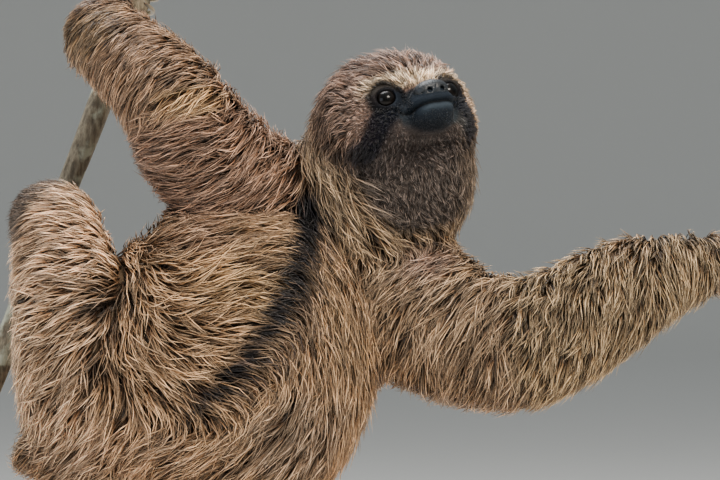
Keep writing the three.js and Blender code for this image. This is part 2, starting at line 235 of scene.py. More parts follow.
def short_coat():
    """Skin under its finest hair: its markings with painted shade under the coat, and a fine bump
    of down.
    """
    material, tree, spot = new_material("skin_with_down")
    hair_mm, pore_mm, relief_mm = 0.7, 0.9, 0.3  # real down is finer and wouldn't show
    shade = add(tree, "Attribute", {}, {"attribute_name": "shade"}, out="Color")
    bare = add(tree, "Attribute", {}, {"attribute_name": "bare"}, out="Fac")
    grain = add(tree, "TexNoise", {0: spot, "Scale": 1 / (hair_mm * MM), "Detail": 3.0})
    pores = add(tree, "TexVoronoi", {0: spot, "Scale": 1 / (pore_mm * MM)})
    # Painted shade: skin covered by the coat is darkened to a fifth or less; bare skin keeps its
    # tone.
    covered = add(tree, "ValToRGB", {0: grain}, stops=[(0.3, 0.05), (0.7, 0.2)])
    open_skin = add(tree, "ValToRGB", {0: grain}, stops=[(0.3, 0.75), (0.7, 1.1)])
    depth = add(tree, "Mix", {0: bare, 6: covered, 7: open_skin}, blended, out=2)
    tone = add(tree, "Mix", {0: 1.0, 6: shade, 7: depth}, multiplied, out=2)
    pits = add(tree, "Math", {0: pores, 1: 0.6}, {"operation": "MULTIPLY"})
    relief = add(tree, "Math", {0: grain, 1: pits}, {"operation": "ADD"})
    bump = add(tree, "Bump", {"Height": relief, "Distance": relief_mm * MM})
    surface = {"Base Color": tone, "Normal": bump, "Roughness": 0.75}
    return finished(material, {**surface, "Specular IOR Level": 0.12})


def nose_leather():
    """Damp bare nose: near black, cobbled, with a wet film on top."""
    material, tree, spot = new_material("damp_nose_leather")
    cobble_mm, patch_mm, relief_mm = 1.1, 7, 0.22
    scale = 1 / (cobble_mm * MM)
    cobbles = add(tree, "TexVoronoi", {0: spot, "Scale": scale, "Randomness": 0.9})
    patches = add(tree, "TexNoise", {0: spot, "Scale": 1 / (patch_mm * MM), "Detail": 3.0})
    tone = add(tree, "ValToRGB", {0: patches}, stops=[(0.35, "#0c1218"), (0.65, "#161f28")])
    bump = add(tree, "Bump", {"Height": cobbles, "Distance": relief_mm * MM})
    surface = {"Base Color": tone, "Normal": bump, "Roughness": 0.5}
    return finished(material, {**surface, "Coat Weight": 0.15, "Coat Roughness": 0.3})


def glass_eye(gaze_way, middle):
    """Blown glass eye: a deep brown iris with a black pupil under a clear polished front."""
    material, tree, spot = new_material("glass_eye")
    ray_mm, ray_waver = 0.6, 0.05
    shift = add(tree, "VectorMath", {0: spot, 1: middle}, {"operation": "SUBTRACT"})
    away = add(tree, "VectorMath", {0: shift}, {"operation": "NORMALIZE"})
    dot = {"operation": "DOT_PRODUCT"}
    facing = add(tree, "VectorMath", {0: away, 1: gaze_way}, dot, out="Value")
    rays = add(tree, "TexNoise", {0: spot, "Scale": 1 / (ray_mm * MM), "Detail": 4.0})
    centred = add(tree, "Math", {0: rays, 1: 0.5}, {"operation": "SUBTRACT"})
    wander = add(tree, "Math", {0: centred, 1: ray_waver}, {"operation": "MULTIPLY"})
    edge = add(tree, "Math", {0: facing, 1: wander}, {"operation": "ADD"})
    stops = [(0.5, "#050404"), (0.66, "#0a0706"), (0.84, "#0f0a07"), (0.9, "#030303")]
    tone = add(tree, "ValToRGB", {0: edge}, stops=stops)
    surface = {"Base Color": tone, "Roughness": 0.4, "Specular IOR Level": 0.05}
    return finished(material, {**surface, "Coat Weight": 0.3, "Coat Roughness": 0.03})


def claw_keratin():
    """Keratin claw: mottled yellow-grey horn, darker where it leaves the toe."""
    material, tree, spot = new_material("claw_keratin")
    mottle_mm, relief_mm = 2.5, 0.12
    along = add(tree, "Attribute", {}, {"attribute_name": "along"}, out="Fac")
    mottle = add(tree, "TexNoise", {0: spot, "Scale": 1 / (mottle_mm * MM), "Detail": 5.0})
    drift = add(tree, "Math", {0: mottle, 1: 0.35}, {"operation": "MULTIPLY"})
    worn = add(tree, "Math", {0: along, 1: drift}, {"operation": "ADD"})
    stops = [(0.15, "#4a3f33"), (0.5, "#8d7f66"), (0.95, "#b9a986"), (1.0, "#d8cbab")]
    tone = add(tree, "ValToRGB", {0: worn}, stops=stops)
    bump = add(tree, "Bump", {"Height": mottle, "Distance": relief_mm * MM})
    surface = {"Base Color": tone, "Normal": bump, "Roughness": 0.38, "Coat Weight": 0.2}
    return finished(material, surface)


def grey_bark():
    """Thin living bark: grey-brown, with lengthwise cracks and pale grey-green lichen."""
    material, tree, spot = new_material("thin_grey_bark")
    crack_mm, lichen_mm, relief_mm = 2.2, 14, 0.9
    lengthwise = add(tree, "Mapping", {0: spot, "Scale": (1.0, 1.0, 0.16)})
    noise = {0: lengthwise, "Scale": 1 / (crack_mm * MM), "Detail": 8.0, "Roughness": 0.65}
    cracks = add(tree, "TexNoise", noise)
    lichen = add(tree, "TexNoise", {0: spot, "Scale": 1 / (lichen_mm * MM), "Detail": 4.0})
    stops = [(0.3, "#453d30"), (0.45, "#6f6452"), (0.6, "#8f846e"), (0.75, "#b0a68e")]
    bark = add(tree, "ValToRGB", {0: cracks}, stops=stops)
    crust = add(tree, "ValToRGB", {0: lichen}, stops=[(0.5, 0.0), (0.6, 0.75)])
    tone = add(tree, "Mix", {0: crust, 6: bark, 7: painted("#b9baa3")}, blended, out=2)
    bump = add(tree, "Bump", {"Height": cracks, "Distance": relief_mm * MM})
    return finished(material, {"Base Color": tone, "Normal": bump, "Roughness": 0.85})


def sawn_end():
    """Sawn end of a green branch: pale wood in two soft tones."""
    material, tree, spot = new_material("sawn_branch_end")
    tone_mm, relief_mm = 3, 0.2
    tones = add(tree, "TexNoise", {0: spot, "Scale": 1 / (tone_mm * MM), "Detail": 6.0})
    tone = add(tree, "ValToRGB", {0: tones}, stops=[(0.35, "#a9875a"), (0.65, "#d2b685")])
    bump = add(tree, "Bump", {"Height": tones, "Distance": relief_mm * MM})
    return finished(material, {"Base Color": tone, "Normal": bump, "Roughness": 0.8})


def oiled_oak():
    """Planed oak under oil: long grain bands, short dark pores and a low satin gloss."""
    material, tree, spot = new_material("oiled_oak")
    band_mm, pore_mm, relief_mm = 14, 0.9, 0.15  # real pores are finer and wouldn't show
    long_grain = add(tree, "Mapping", {0: spot, "Scale": (0.07, 1.0, 1.0)})
    noise = {0: long_grain, "Scale": 1 / (band_mm * MM), "Detail": 6.0, "Distortion": 0.6}
    bands = add(tree, "TexNoise", noise)
    drawn_out = add(tree, "Mapping", {0: spot, "Scale": (0.05, 1.0, 1.0)})
    pores = add(tree, "TexNoise", {0: drawn_out, "Scale": 1 / (pore_mm * MM), "Detail": 2.0})
    stops = [(0.3, "#8a6238"), (0.5, "#a97c4b"), (0.7, "#c0935c")]
    wood = add(tree, "ValToRGB", {0: bands}, stops=stops)
    pits = add(tree, "ValToRGB", {0: pores}, stops=[(0.3, 0.55), (0.42, 1.0)])
    tone = add(tree, "Mix", {0: 1.0, 6: wood, 7: pits}, multiplied, out=2)
    bump = add(tree, "Bump", {"Height": pores, "Distance": relief_mm * MM})
    return finished(material, {"Base Color": tone, "Normal": bump, "Roughness": 0.42})


def brushed_steel():
    """Stainless rod, brushed along its length: cool grey with fine lines."""
    material, tree, spot = new_material("brushed_steel")
    line_mm, relief_mm = 0.5, 0.05  # coarser than a real brush line, to show
    drawn_out = add(tree, "Mapping", {0: spot, "Scale": (1.0, 1.0, 0.03)})
    lines = add(tree, "TexNoise", {0: drawn_out, "Scale": 1 / (line_mm * MM), "Detail": 3.0})
    tone = add(tree, "ValToRGB", {0: lines}, stops=[(0.3, "#8a8d90"), (0.7, "#b3b6b8")])
    bump = add(tree, "Bump", {"Height": lines, "Distance": relief_mm * MM})
    surface = {"Base Color": tone, "Normal": bump, "Metallic": 1.0, "Roughness": 0.34}
    return finished(material, surface)


# ---- Meshes --------------------------------------------------------------------------------


def turned_rings(reach, height, around):
    """Rings of points round the Z axis, each at its own reach and height."""
    turn = 2 * np.pi * np.arange(around) / around
    reach, height = np.asarray(reach, float)[:, None], np.asarray(height, float)[:, None]
    spots = np.broadcast_arrays(reach * np.cos(turn), reach * np.sin(turn), height)
    return np.stack(spots, -1)


def ring_quads(rings, around):
    """Quads between rings of points that follow one another; they face outwards going up."""
    ring, k = np.divmod(np.arange((rings - 1) * around), around)
    a, b = ring * around + k, ring * around + (k + 1) % around
    return np.stack([a, b, b + around, a + around], 1)


def capped_rings(rings, ends):
    """Rings of points closed by a fan at each end: points, corners and face sizes."""
    count, around = rings.shape[:2]
    points = np.concatenate([rings.reshape(-1, 3), ends])
    quads = ring_quads(count, around)
    k = np.arange(around)
    after, last = (k + 1) % around, (count - 1) * around
    start, finish = np.full((2, around), [[len(points) - 2], [len(points) - 1]])
    fans = np.stack([after, k, start, last + k, last + after, finish], 1)
    sizes = np.repeat([4, 3], [len(quads), 2 * around])
    return points, np.concatenate([quads.ravel(), fans.ravel()]), sizes


def join_meshes(meshes):
    """Points and faces of several meshes as those of one."""
    starts = np.cumsum([0] + [len(points) for points, _ in meshes])
    faces = [faces + start for (_, faces), start in zip(meshes, starts)]
    return np.concatenate([points for points, _ in meshes]), np.concatenate(faces)


def new_piece(name, points, corners, sizes, material, slot, replaced=()):
    """A mesh piece from points in millimetres and faces as a run of corners and face sizes."""
    mesh = bpy.data.meshes.new(name)
    corners = np.asarray(corners, np.int32).ravel()
    sizes = np.broadcast_to(sizes, len(corners) // sizes) if np.isscalar(sizes) else sizes
    mesh.vertices.add(len(points))
    mesh.vertices.foreach_set("co", to_row(points).astype(np.float32).ravel())
    mesh.loops.add(len(corners))
    mesh.loops.foreach_set("vertex_index", corners)
    mesh.polygons.add(len(sizes))
    starts = np.concatenate(([0], np.cumsum(sizes)[:-1])).astype(np.int32)
    mesh.polygons.foreach_set("loop_start", starts)
    mesh.polygons.foreach_set("use_smooth", np.ones(len(sizes), bool))
    mesh.update(calc_edges=True)
    mesh.validate()
    mesh.materials.append(material)
    piece = bpy.data.objects.new(name, mesh)
    bpy.context.scene.collection.objects.link(piece)
    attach(piece, "root")
    if replaced:
        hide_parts(*replaced)
    return piece


def set_value(mesh, name, values):
    """Stores one number or one colour for each point of a mesh."""
    values = np.asarray(values, np.float32)
    if values.ndim == 1:
        mesh.attributes.new(name, "FLOAT", "POINT").data.foreach_set("value", values)
        return
    colours = np.ones((len(values), 4), np.float32)
    colours[:, :3] = values
    mesh.attributes.new(name, "FLOAT_COLOR", "POINT").data.foreach_set("color", colours.ravel())


def node_form(name):
    """A CAD piece's points in millimetres and its triangles, with shared points merged."""
    mesh = nodes[name].data
    points = np.empty(len(mesh.vertices) * 3)
    mesh.vertices.foreach_get("co", points)
    mesh.calc_loop_triangles()
    triangles = np.empty(len(mesh.loop_triangles) * 3, np.int32)
    mesh.loop_triangles.foreach_get("vertices", triangles)
    spots = from_row(points.reshape(-1, 3))
    merge_grid = 0.01
    _, first, joined = np.unique(
        np.round(spots / merge_grid).astype(int), axis=0, return_index=True, return_inverse=True
    )
    triangles = joined.ravel()[triangles].reshape(-1, 3)
    real = (triangles != np.roll(triangles, 1, axis=1)).all(1)
    return spots[first], triangles[real]


def point_normals(points, faces):
    """Area-weighted normals of the points of a mesh of triangles or quads."""
    a, b, c = points[faces[:, 0]], points[faces[:, 1]], points[faces[:, -2]]
    d = points[faces[:, -1]]
    across = np.cross(b - a, d - a) if faces.shape[1] == 3 else np.cross(c - a, d - b)
    normals = np.zeros_like(points)
    for k in range(faces.shape[1]):
        for axis in range(3):
            normals[:, axis] += np.bincount(faces[:, k], across[:, axis], len(points))
    return unit(normals)


def mesh_edges(faces):
    pairs = [faces[:, (k, (k + 1) % faces.shape[1])] for k in range(faces.shape[1])]
    return np.unique(np.sort(np.concatenate(pairs), axis=1), axis=0)


def spread_out(values, edges, rounds):
    """Evens values out over a mesh by averaging each with its neighbours' mean."""
    values = np.array(values, float)
    flat = values.reshape(len(values), -1)
    count = np.bincount(edges.ravel(), minlength=len(flat))[:, None]
    for _ in range(rounds):
        total = np.empty_like(flat)
        for k in range(flat.shape[1]):
            column = flat[:, k]
            total[:, k] = np.bincount(edges[:, 0], column[edges[:, 1]], len(flat))
            total[:, k] += np.bincount(edges[:, 1], column[edges[:, 0]], len(flat))
        flat = 0.5 * flat + 0.5 * total / np.maximum(count, 1)
    return flat.reshape(values.shape)


# ---- The head's own directions -------------------------------------------------------------

between_eyes = np.array([34.9, 35.5, 85.6])
head_turn = {"yaw": -65.0, "pitch": 27.0, "roll": 8.0}  # facing, chin up, right ear down
eye_radius = 6.5
eye_spacing = 41.0
eye_depth = 5.0  # its middle, behind the point between the eyes
gaze_outward = 24.0  # degrees
gaze_rise = 0.05


def head_ways():
    yaw, pitch, roll = (math.radians(head_turn[k]) for k in ("yaw", "pitch", "roll"))
    level = np.array([math.cos(yaw), math.sin(yaw), 0.0])
    ahead = level * math.cos(pitch) + np.array([0.0, 0.0, math.sin(pitch)])
    level_right = np.cross(level, (0.0, 0.0, 1.0))
    turned = level_right * math.cos(roll) + np.cross(ahead, level_right) * math.sin(roll)
    return np.array([turned, ahead, np.cross(turned, ahead)])


face_ways = head_ways()  # rows: to the animal's right, ahead, up


def to_face(points):
    """Right of, ahead of and above the point between the eyes, in millimetres."""
    return (np.asarray(points, float) - between_eyes) @ face_ways.T


def from_face(places):
    return np.asarray(places, float) @ face_ways + between_eyes


def eye_middle(side):
    return np.array([side * eye_spacing / 2, -eye_depth, 0.0])


def eye_reach(places):
    """How far places of the face lie from the middle of the nearer eye."""
    return np.min([np.linalg.norm(places - eye_middle(side), axis=1) for side in (-1, 1)], 0)


def gaze(side):
    turn = math.radians(gaze_outward)
    return np.array([side * math.sin(turn), math.cos(turn), gaze_rise])


# ---- Skin ----------------------------------------------------------------------------------

limbs = {"arm": ("upper_arm", "forearm", "hand"), "leg": ("thigh", "shank", "foot")}
flesh_parts = ["trunk", "neck", "head", "muzzle", "tail"]
for limb_side in ("left", "right"):
    flesh_parts += [f"{part}_{limb_side}" for parts in limbs.values() for part in parts]

# For each part: how deep the coat lies on the skin, how long its hair is, how wide a strand
# is, which stands for a few hairs, how thickly it grows and how much it curls
coat = {
    "trunk": (9.0, 32.0, 0.95, 1.0, 0.23),
    "neck": (6.5, 30.0, 0.85, 1.2, 0.3),
    "head": (6.0, 20.0, 0.75, 1.7, 0.3),
    "muzzle": (2.0, 4.0, 0.4, 2.6, 0.2),
    "tail": (4.0, 18.0, 0.85, 1.3, 0.2),
    "upper_arm": (7.0, 28.0, 0.85, 1.1, 0.22),
    "forearm": (6.5, 20.0, 0.8, 1.3, 0.2),
    "hand": (2.5, 10.0, 0.6, 2.0, 0.2),
    "thigh": (7.5, 27.0, 0.9, 1.05, 0.2),
    "shank": (5.5, 19.0, 0.8, 1.3, 0.18),
    "foot": (2.5, 9.0, 0.6, 2.0, 0.2),
}
coat_table = np.array(
    [coat[name.removesuffix("_left").removesuffix("_right")] for name in flesh_parts]
)
skin_voxel = 2.45


def level_set(points, faces, band):
    """A closed mesh as a volume of distances to it, up to `band` voxels away."""
    transform = openvdb.createLinearTransform(voxelSize=skin_voxel)
    kinds = {"triangles" if faces.shape[1] == 3 else "quads": faces.astype(np.uint32)}
    return openvdb.FloatGrid.createLevelSetFromPolygons(
        points.astype(np.float32), transform=transform, halfWidth=band, **kinds
    )


def outer_quads(grid):
    """The zero surface of a volume as points and quads that face outwards."""
    points, quads = grid.convertToQuads()
    points, quads = points.astype(float), quads.astype(int)
    a, b, c, d = (points[quads[:, k]] for k in range(4))
    volume = (np.cross(c - a, d - b) * (a + c)).sum()
    return points, quads if volume > 0 else quads[:, ::-1]


def joined_flesh():
    """All flesh solids as one closed mesh, each grown a little so that neighbours meet."""
    grow, band = 0.7, 3.0
    solids = [node_form(name) for name in flesh_parts]
    grown = [(spots + point_normals(spots, faces) * grow, faces) for spots, faces in solids]
    return outer_quads(level_set(*join_meshes(grown), band))


def nearest_parts(points):
    """Which CAD piece each point lies nearest to, as a number into flesh_parts."""
    solids = [node_form(name) for name in flesh_parts]
    spots, faces = join_meshes(solids)
    owner = np.repeat(np.arange(len(solids)), [len(triangles) for _, triangles in solids])
    tree = BVHTree.FromPolygons(spots.tolist(), faces.tolist())
    return owner[[tree.find_nearest(p)[2] for p in points.tolist()]]


def ball_distance(places, middle, radii):
    """Distance to an egg form, near enough close to its surface."""
    away = (places - np.asarray(middle, float)) / np.asarray(radii, float)
    size = np.linalg.norm(away, axis=-1)
    steep = np.linalg.norm(away / np.asarray(radii, float), axis=-1)
    return size * (size - 1.0) / np.maximum(steep, 1e-6)


def line_distance(places, line):
    """Distance of flat or solid places to a drawn line."""
    best = np.full(len(places), np.inf)
    for start, end in zip(line[:-1], line[1:]):
        start, way = np.asarray(start, float), np.subtract(end, start)
        t = np.clip((places - start) @ way / (way @ way), 0.0, 1.0)
        best = np.minimum(best, np.linalg.norm(places - start - t[:, None] * way, axis=1))
    return best


def melt(first, second, reach):
    """Joins two forms with a rounded fillet `reach` wide."""
    t = np.clip(0.5 + 0.5 * (second - first) / reach, 0.0, 1.0)
    return second + (first - second) * t - reach * t * (1.0 - t)


def carve(form, hollow, reach):
    """Takes a hollow out of a form, with a rounded rim `reach` wide."""
    return -melt(-form, hollow, reach)


# Egg forms of the head: right of, ahead of, above the point between the eyes, and half sizes
middle_forms = [
    ((0, -36, 3), (43, 34, 33)),  # skull
    ((0, -20, 7), (35, 20, 22)),  # forehead
    ((0, 3, -8.9), (13.0, 14.6, 9.2)),  # upper jaw
    ((0, -0.7, -19.4), (13.5, 15.2, 6.6)),  # lower jaw
    ((0, -7, 2), (14, 8, 9)),  # bridge of the nose
]
paired_forms = [
    ((20.5, -8.5, 0), (10.5, 9.0, 9.5)),  # round the eye
    ((17, -11, -12), (14, 13, 12)),  # cheek
    ((27, -26, -10), (15, 18, 17)),  # jaw muscle
    ((4.6, 9.5, -11.5), (6.8, 7.0, 5.0)),  # upper lip
]
middle_fold, paired_fold = 7.0, 5.0  # how softly the forms melt together
mouth_line = [(20.0, -10.5), (17.0, -12.8), (13.0, -13.9), (8.0, -14.2), (0.0, -14.2)]
lower_lip_place, lower_lip_width = -2.6, 1.7  # from the mouth line


def mouth_reach(places):
    """How far places of the face lie above (+) or below (-) the line between the lips."""
    flat = np.stack([np.abs(places[:, 0]), places[:, 2]], 1)
    sides, heights = np.array(mouth_line[::-1]).T
    above = np.where(flat[:, 1] > np.interp(flat[:, 0], sides, heights), 1.0, -1.0)
    return above * line_distance(flat, mouth_line)


def ridge(reach, place, width):
    """A rounded ridge, 1 high, at a place along a measure."""
    return np.exp(-(((reach - place) / width) ** 2))


def head_distance(places):
    """The head's skin, without the fine folds."""
    best = np.full(len(places), 1e3)
    for middle, radii in middle_forms:
        best = melt(best, ball_distance(places, middle, radii), middle_fold)
    mirrored = np.column_stack([np.abs(places[:, 0]), places[:, 1:]])
    for middle, radii in paired_forms:
        best = melt(best, ball_distance(mirrored, middle, radii), paired_fold)
    return best


def lip_relief(places):
    """How far the lips stand out from the face, and how deep the line between them lies."""
    parting_deep, parting_width = 1.4, 1.0
    upper_lip_high, upper_lip_place, upper_lip_width = 0.6, 2.8, 1.9
    lower_lip_high = 0.9
    lips = mouth_reach(places)
    parting = parting_deep * ridge(lips, 0.0, parting_width)
    upper_lip = upper_lip_high * ridge(lips, upper_lip_place, upper_lip_width)
    corner = smoothstep(18, 12, np.abs(places[:, 0]))
    lower_lip = lower_lip_high * ridge(lips, lower_lip_place, lower_lip_width) * corner
    return smoothstep(-10.0, -6.0, places[:, 1]) * (upper_lip + lower_lip - parting)


def face_distance(places):
    """The head's skin with its sockets."""
    skin_round_eye, rim_fold = eye_radius + 1.0, 3.0
    opening, opening_fold = (6.2, 6.2, 5.8), 1.2
    best = head_distance(places)
    for side in (-1, 1):
        middle = eye_middle(side)
        best = melt(best, ball_distance(places, middle, (skin_round_eye,) * 3), rim_fold)
        front = middle + gaze(side) * eye_radius
        best = carve(best, ball_distance(places, front, opening), opening_fold)
    return best


def form_values(points, quads, band):
    """A closed form as a block of distances to its surface, and the block's low corner."""
    room = 8  # voxels round the form
    low = np.floor(points.min(0) / skin_voxel).astype(int) - room
    high = np.ceil(points.max(0) / skin_voxel).astype(int) + room
    values = np.full(tuple(high - low), band * skin_voxel, np.float32)
    level_set(points, quads, band).copyToArray(values, ijk=tuple(low.tolist()))
    return values, low


def surface_of(values, low, band):
    grid = openvdb.FloatGrid(band * skin_voxel)
    grid.transform = openvdb.createLinearTransform(voxelSize=skin_voxel)
    grid.copyFromArray(values, ijk=tuple(low.tolist()))
    return outer_quads(grid)


def filled_creases(points, quads):
    """Fills sharp inner corners with a fillet: the form is grown, then taken in as much."""
    fillet, band = 12.0, 8.0
    for way in (1.0, -1.0):
        values, low = form_values(points, quads, band)
        points, quads = surface_of(values - way * fillet, low, band)
    return points, quads


def skin_form():
    """The body's skin: the solids taken in by the coat's depth, melted with the head's skin."""
    points, quads = joined_flesh()
    edges = mesh_edges(quads)
    points = spread_out(points, edges, rounds=3)
    depth = spread_out(coat_table[nearest_parts(points), 0], edges, rounds=12)
    points = points - point_normals(points, quads) * depth[:, None]
    points, quads = filled_creases(points, quads)
    points = spread_out(points, mesh_edges(quads), rounds=6)
    band = 6.0
    values, low = form_values(points, quads, band)
    high = low + values.shape
    spots = np.stack(np.meshgrid(*map(np.arange, low, high), indexing="ij"), -1) * skin_voxel
    mid_head, head_reach, head_fold = (0, -25, 0), 75, 6.0
    near_head = np.linalg.norm(spots - from_face(mid_head), axis=-1) < head_reach
    places = to_face(spots[near_head])
    values[near_head] = melt(values[near_head], head_distance(places), head_fold)
    return surface_of(values, low, band)


def split_faces(points, faces, chosen):
    """Cuts each chosen triangle in four, and its neighbours so that no gap opens."""
    ends = np.sort(faces[:, [0, 1, 1, 2, 2, 0]].reshape(-1, 2), axis=1)
    cut = np.unique(ends.reshape(-1, 3, 2)[chosen].reshape(-1, 2), axis=0)
    key = len(points) + 1
    cut_keys = cut[:, 0] * key + cut[:, 1]
    middles = (points[cut[:, 0]] + points[cut[:, 1]]) / 2
    edge_keys = (ends[:, 0] * key + ends[:, 1]).reshape(-1, 3)
    found = np.clip(np.searchsorted(cut_keys, edge_keys), 0, len(cut_keys) - 1)
    middle_at = np.where(cut_keys[found] == edge_keys, found + len(points), -1)
    count = (middle_at >= 0).sum(1)
    out = [faces[count == 0]]

    def keep(those, *corners):
        out.append(np.stack([corner[those] for corner in corners], 1))

    a, b, c = faces.T
    ab, bc, ca = middle_at.T
    for corner in ((a, ab, ca), (ab, b, bc), (ca, bc, c), (ab, bc, ca)):
        keep(count == 3, *corner)
    for turn in range(3):
        a, b, c = np.roll(faces, -turn, axis=1).T
        ab, bc, ca = np.roll(middle_at, -turn, axis=1).T
        one = (count == 1) & (ab >= 0)
        keep(one, a, ab, c)
        keep(one, ab, b, c)
        two = (count == 2) & (ca < 0)
        keep(two, ab, b, bc)
        keep(two, a, ab, c)
        keep(two, ab, bc, c)
    return np.concatenate([points, middles]), np.concatenate(out)


def pull_to_face(points):
    """Moves points of the front of the head onto its finely folded skin."""
    rounds, step, most, least_slope, half_face = 4, 0.05, 1.5, 0.2, 44
    places = to_face(points)
    share = smoothstep(-24.0, -14.0, places[:, 1]) * (np.abs(places[:, 0]) < half_face)
    share *= smoothstep(-40.0, -31.0, places[:, 2])
    chosen = np.flatnonzero(share > 0)
    spots = places[chosen]
    for _ in range(rounds):
        value = face_distance(spots)
        ahead = [face_distance(spots + step * way) - value for way in np.eye(3)]
        slope = np.stack(ahead, 1) / step
        move = value / np.maximum((slope**2).sum(1), least_slope)
        spots = spots - slope * (np.clip(move, -most, most) * share[chosen])[:, None]
    spots = spots + unit(slope) * (lip_relief(spots) * share[chosen])[:, None]
    moved = points.copy()
    moved[chosen] = from_face(spots)
    return moved


def lid_shell(side):
    """Both lids of one eye: a ring of thick skin that lies on the eyeball."""
    around, half_wide, half_high = 56, 64.0, 56.0  # of the opening, in degrees
    upper_share, lower_share = 0.72, 0.95  # of half_high
    # Each ring's degrees past the opening and rise from the eyeball
    rows = [(0, -0.1), (0, 0.7), (5, 1.15), (13, 1.35), (24, 1.2), (36, 0.5), (44, -0.8)]
    extra, rise = np.array(rows).T[:, :, None]
    forward = unit(gaze(side))
    out = unit(np.cross(forward, (0, 0, 1.0)))
    up = np.cross(out, forward)
    turn = 2 * np.pi * np.arange(around) / around
    across, high = np.cos(turn), np.sin(turn)
    half = half_high * np.where(high > 0, upper_share, lower_share)
    lean = np.radians(1 / np.hypot(across / half_wide, high / half) + extra)[..., None]
    ways = forward * np.cos(lean)
    ways = ways + (out * across[:, None] + up * high[:, None]) * np.sin(lean)
    points = (eye_middle(side) + ways * (eye_radius + rise)[..., None]).reshape(-1, 3)
    quads = ring_quads(len(rows), around)
    faces = np.stack([quads[:, (0, 1, 2)], quads[:, (0, 2, 3)]], 1).reshape(-1, 3)
    outward = (point_normals(points, faces) * (points - eye_middle(side))).sum(1)
    return from_face(points), faces if outward.mean() > 0 else faces[:, ::-1]


def make_skin():
    """The skin as triangles, cut finer on the face and finest along the mouth."""
    half_face, chin, crown, face_reach = 40, -34, 40, 60
    lip_reach, corners_ahead, half_mouth = 5, -10, 22
    points, quads = skin_form()
    triangles = np.concatenate([quads[:, (0, 1, 2)], quads[:, (0, 2, 3)]])
    for least_ahead in (-22.0, -16.0):
        middles = to_face(points[triangles].mean(1))
        right, ahead, up = middles.T
        on_face = (ahead > least_ahead) & (np.abs(right) < half_face) & (up > chin)
        on_face &= (up < crown) & (np.linalg.norm(middles, axis=1) < face_reach)
        points, triangles = split_faces(points, triangles, on_face)
    middles = to_face(points[triangles].mean(1))
    by_mouth = (np.abs(mouth_reach(middles)) < lip_reach) & (middles[:, 1] > corners_ahead)
    by_mouth &= np.abs(middles[:, 0]) < half_mouth
    points, triangles = split_faces(points, triangles, by_mouth)
    return pull_to_face(points), triangles


# ---- Lie of the coat -----------------------------------------------------------------------

# Guides on each part: across, away, high, then the way the hair points there.
# The way is an angle seen from the back, from +X towards +Z in degrees.
lie_guides = {
    "trunk": [
        ((-115, 10, 0), 20), ((-92, 5, -11), 26), ((-63, 15, 3), 34), ((-103, 0, -40), 14),
        ((-63, 5, -29), 8), ((-135, 20, -29), -70), ((-128, 10, -52), -80), ((-120, 10, -75), -35),
        ((-92, 0, -57), 2), ((-80, 5, -80), -16), ((-109, 10, -92), -32), ((-17, 10, -6), -102),
        ((11, 25, -3), -125), ((-6, 20, -52), -97), ((23, 50, -40), -92), ((-23, 20, -92), -113),
        ((-52, 15, -109), -135), ((11, 60, -92), -105), ((-75, 30, -126), -142),
        ((-138, 25, -115), -135), ((-103, 20, -120), -150), ((30, 85, -50), -95),
        ((-60, 145, -60), -95), ((-100, 142, -90), -110), ((-60, 85, -130), -160),
        ((-20, 140, -20), -80), ((-150, 100, -90), -120), ((-160, 85, -150), -150),
    ],
    "neck": [
        ((-15, 40, 44), -62), ((-6, 35, 25), -52), ((14, 30, 9), -32), ((35, 30, 0), -60),
        ((45, 30, 40), -92), ((60, 45, 55), -85), ((30, 25, 20), -88), ((20, 25, 45), -92),
        ((20, 110, 40), -90), ((-20, 100, 50), -100), ((70, 80, 45), -80),
    ],
    "tail": [((-185, 70, -130), -170), ((-185, 95, -130), -170)],
    "upper_arm_left": [
        ((-92, 30, 52), 197), ((-69, 45, 46), 210), ((-103, 35, 29), 190), ((-63, 60, 23), 208),
        ((-75, 45, 80), 205), ((-80, 100, 45), 215), ((-50, 70, 50), 212),
    ],
    "forearm_left": [
        ((-123, 40, 88), -108), ((-138, 60, 109), -124), ((-100, 40, 100), -150),
        ((-155, 80, 103), -118), ((-140, 60, 85), -102), ((-110, 60, 115), -155),
        ((-128, 40, 66), -100), ((-110, 30, 78), -122), ((-92, 35, 84), 200),
        ((-75, 45, 80), 200), ((-62, 60, 74), 205), ((-80, 90, 100), -155),
    ],
    "hand_left": [((-168, 120, 130), -125), ((-160, 90, 135), -140)],
    "upper_arm_right": [
        ((40, 50, -17), -133), ((63, 35, -34), -110), ((30, 60, -60), -105), ((80, 40, -20), -112),
        ((70, 90, -50), -100), ((90, 30, -80), -112),
    ],
    "forearm_right": [
        ((110, 30, -30), -106), ((110, 30, -80), -118), ((150, 40, -10), -102),
        ((150, 40, -60), -112), ((190, 50, 0), -88), ((190, 50, -30), -95), ((150, 80, -40), -100),
    ],
    "hand_right": [((225, 70, -5), -60), ((250, 80, -15), -40)],
    "thigh_left": [
        ((-172, 20, -34), 205), ((-185, 20, -52), 215), ((-150, 30, -12), 190),
        ((-178, 25, -75), -130), ((-172, 40, -103), -115), ((-160, 90, -60), -130),
        ((-200, 50, -60), -120), ((-140, 25, -60), -140),
    ],
    "shank_left": [
        ((-172, 30, 6), 188), ((-155, 40, 12), 172), ((-195, 45, -5), 215), ((-180, 60, 30), 185),
        ((-175, 85, 0), 200),
    ],
    "foot_left": [((-200, 90, 25), -120), ((-190, 95, 40), 190)],
    "thigh_right": [((-142, 50, -160), -135), ((-150, 40, -190), -150), ((-140, 120, -160), -120)],
    "shank_right": [((-175, 30, -190), 190), ((-175, 80, -200), -160)],
    "foot_right": [((-205, 30, -165), 170), ((-205, 60, -175), 180)],
}
guide_blend = 12.0  # how far off a guide begins to give way to others
stroke_from = (0.0, 16.0, -6.0)  # hair of the head points away from this place of the face


def carried(ways, normals, front):
    """Ways set on a flat front, carried round the body so that hair wraps over its edges."""
    across = (normals * ways).sum(1)
    share = across / np.maximum(1.0 + normals @ front, 0.3)
    return ways - share[:, None] * (normals + front)


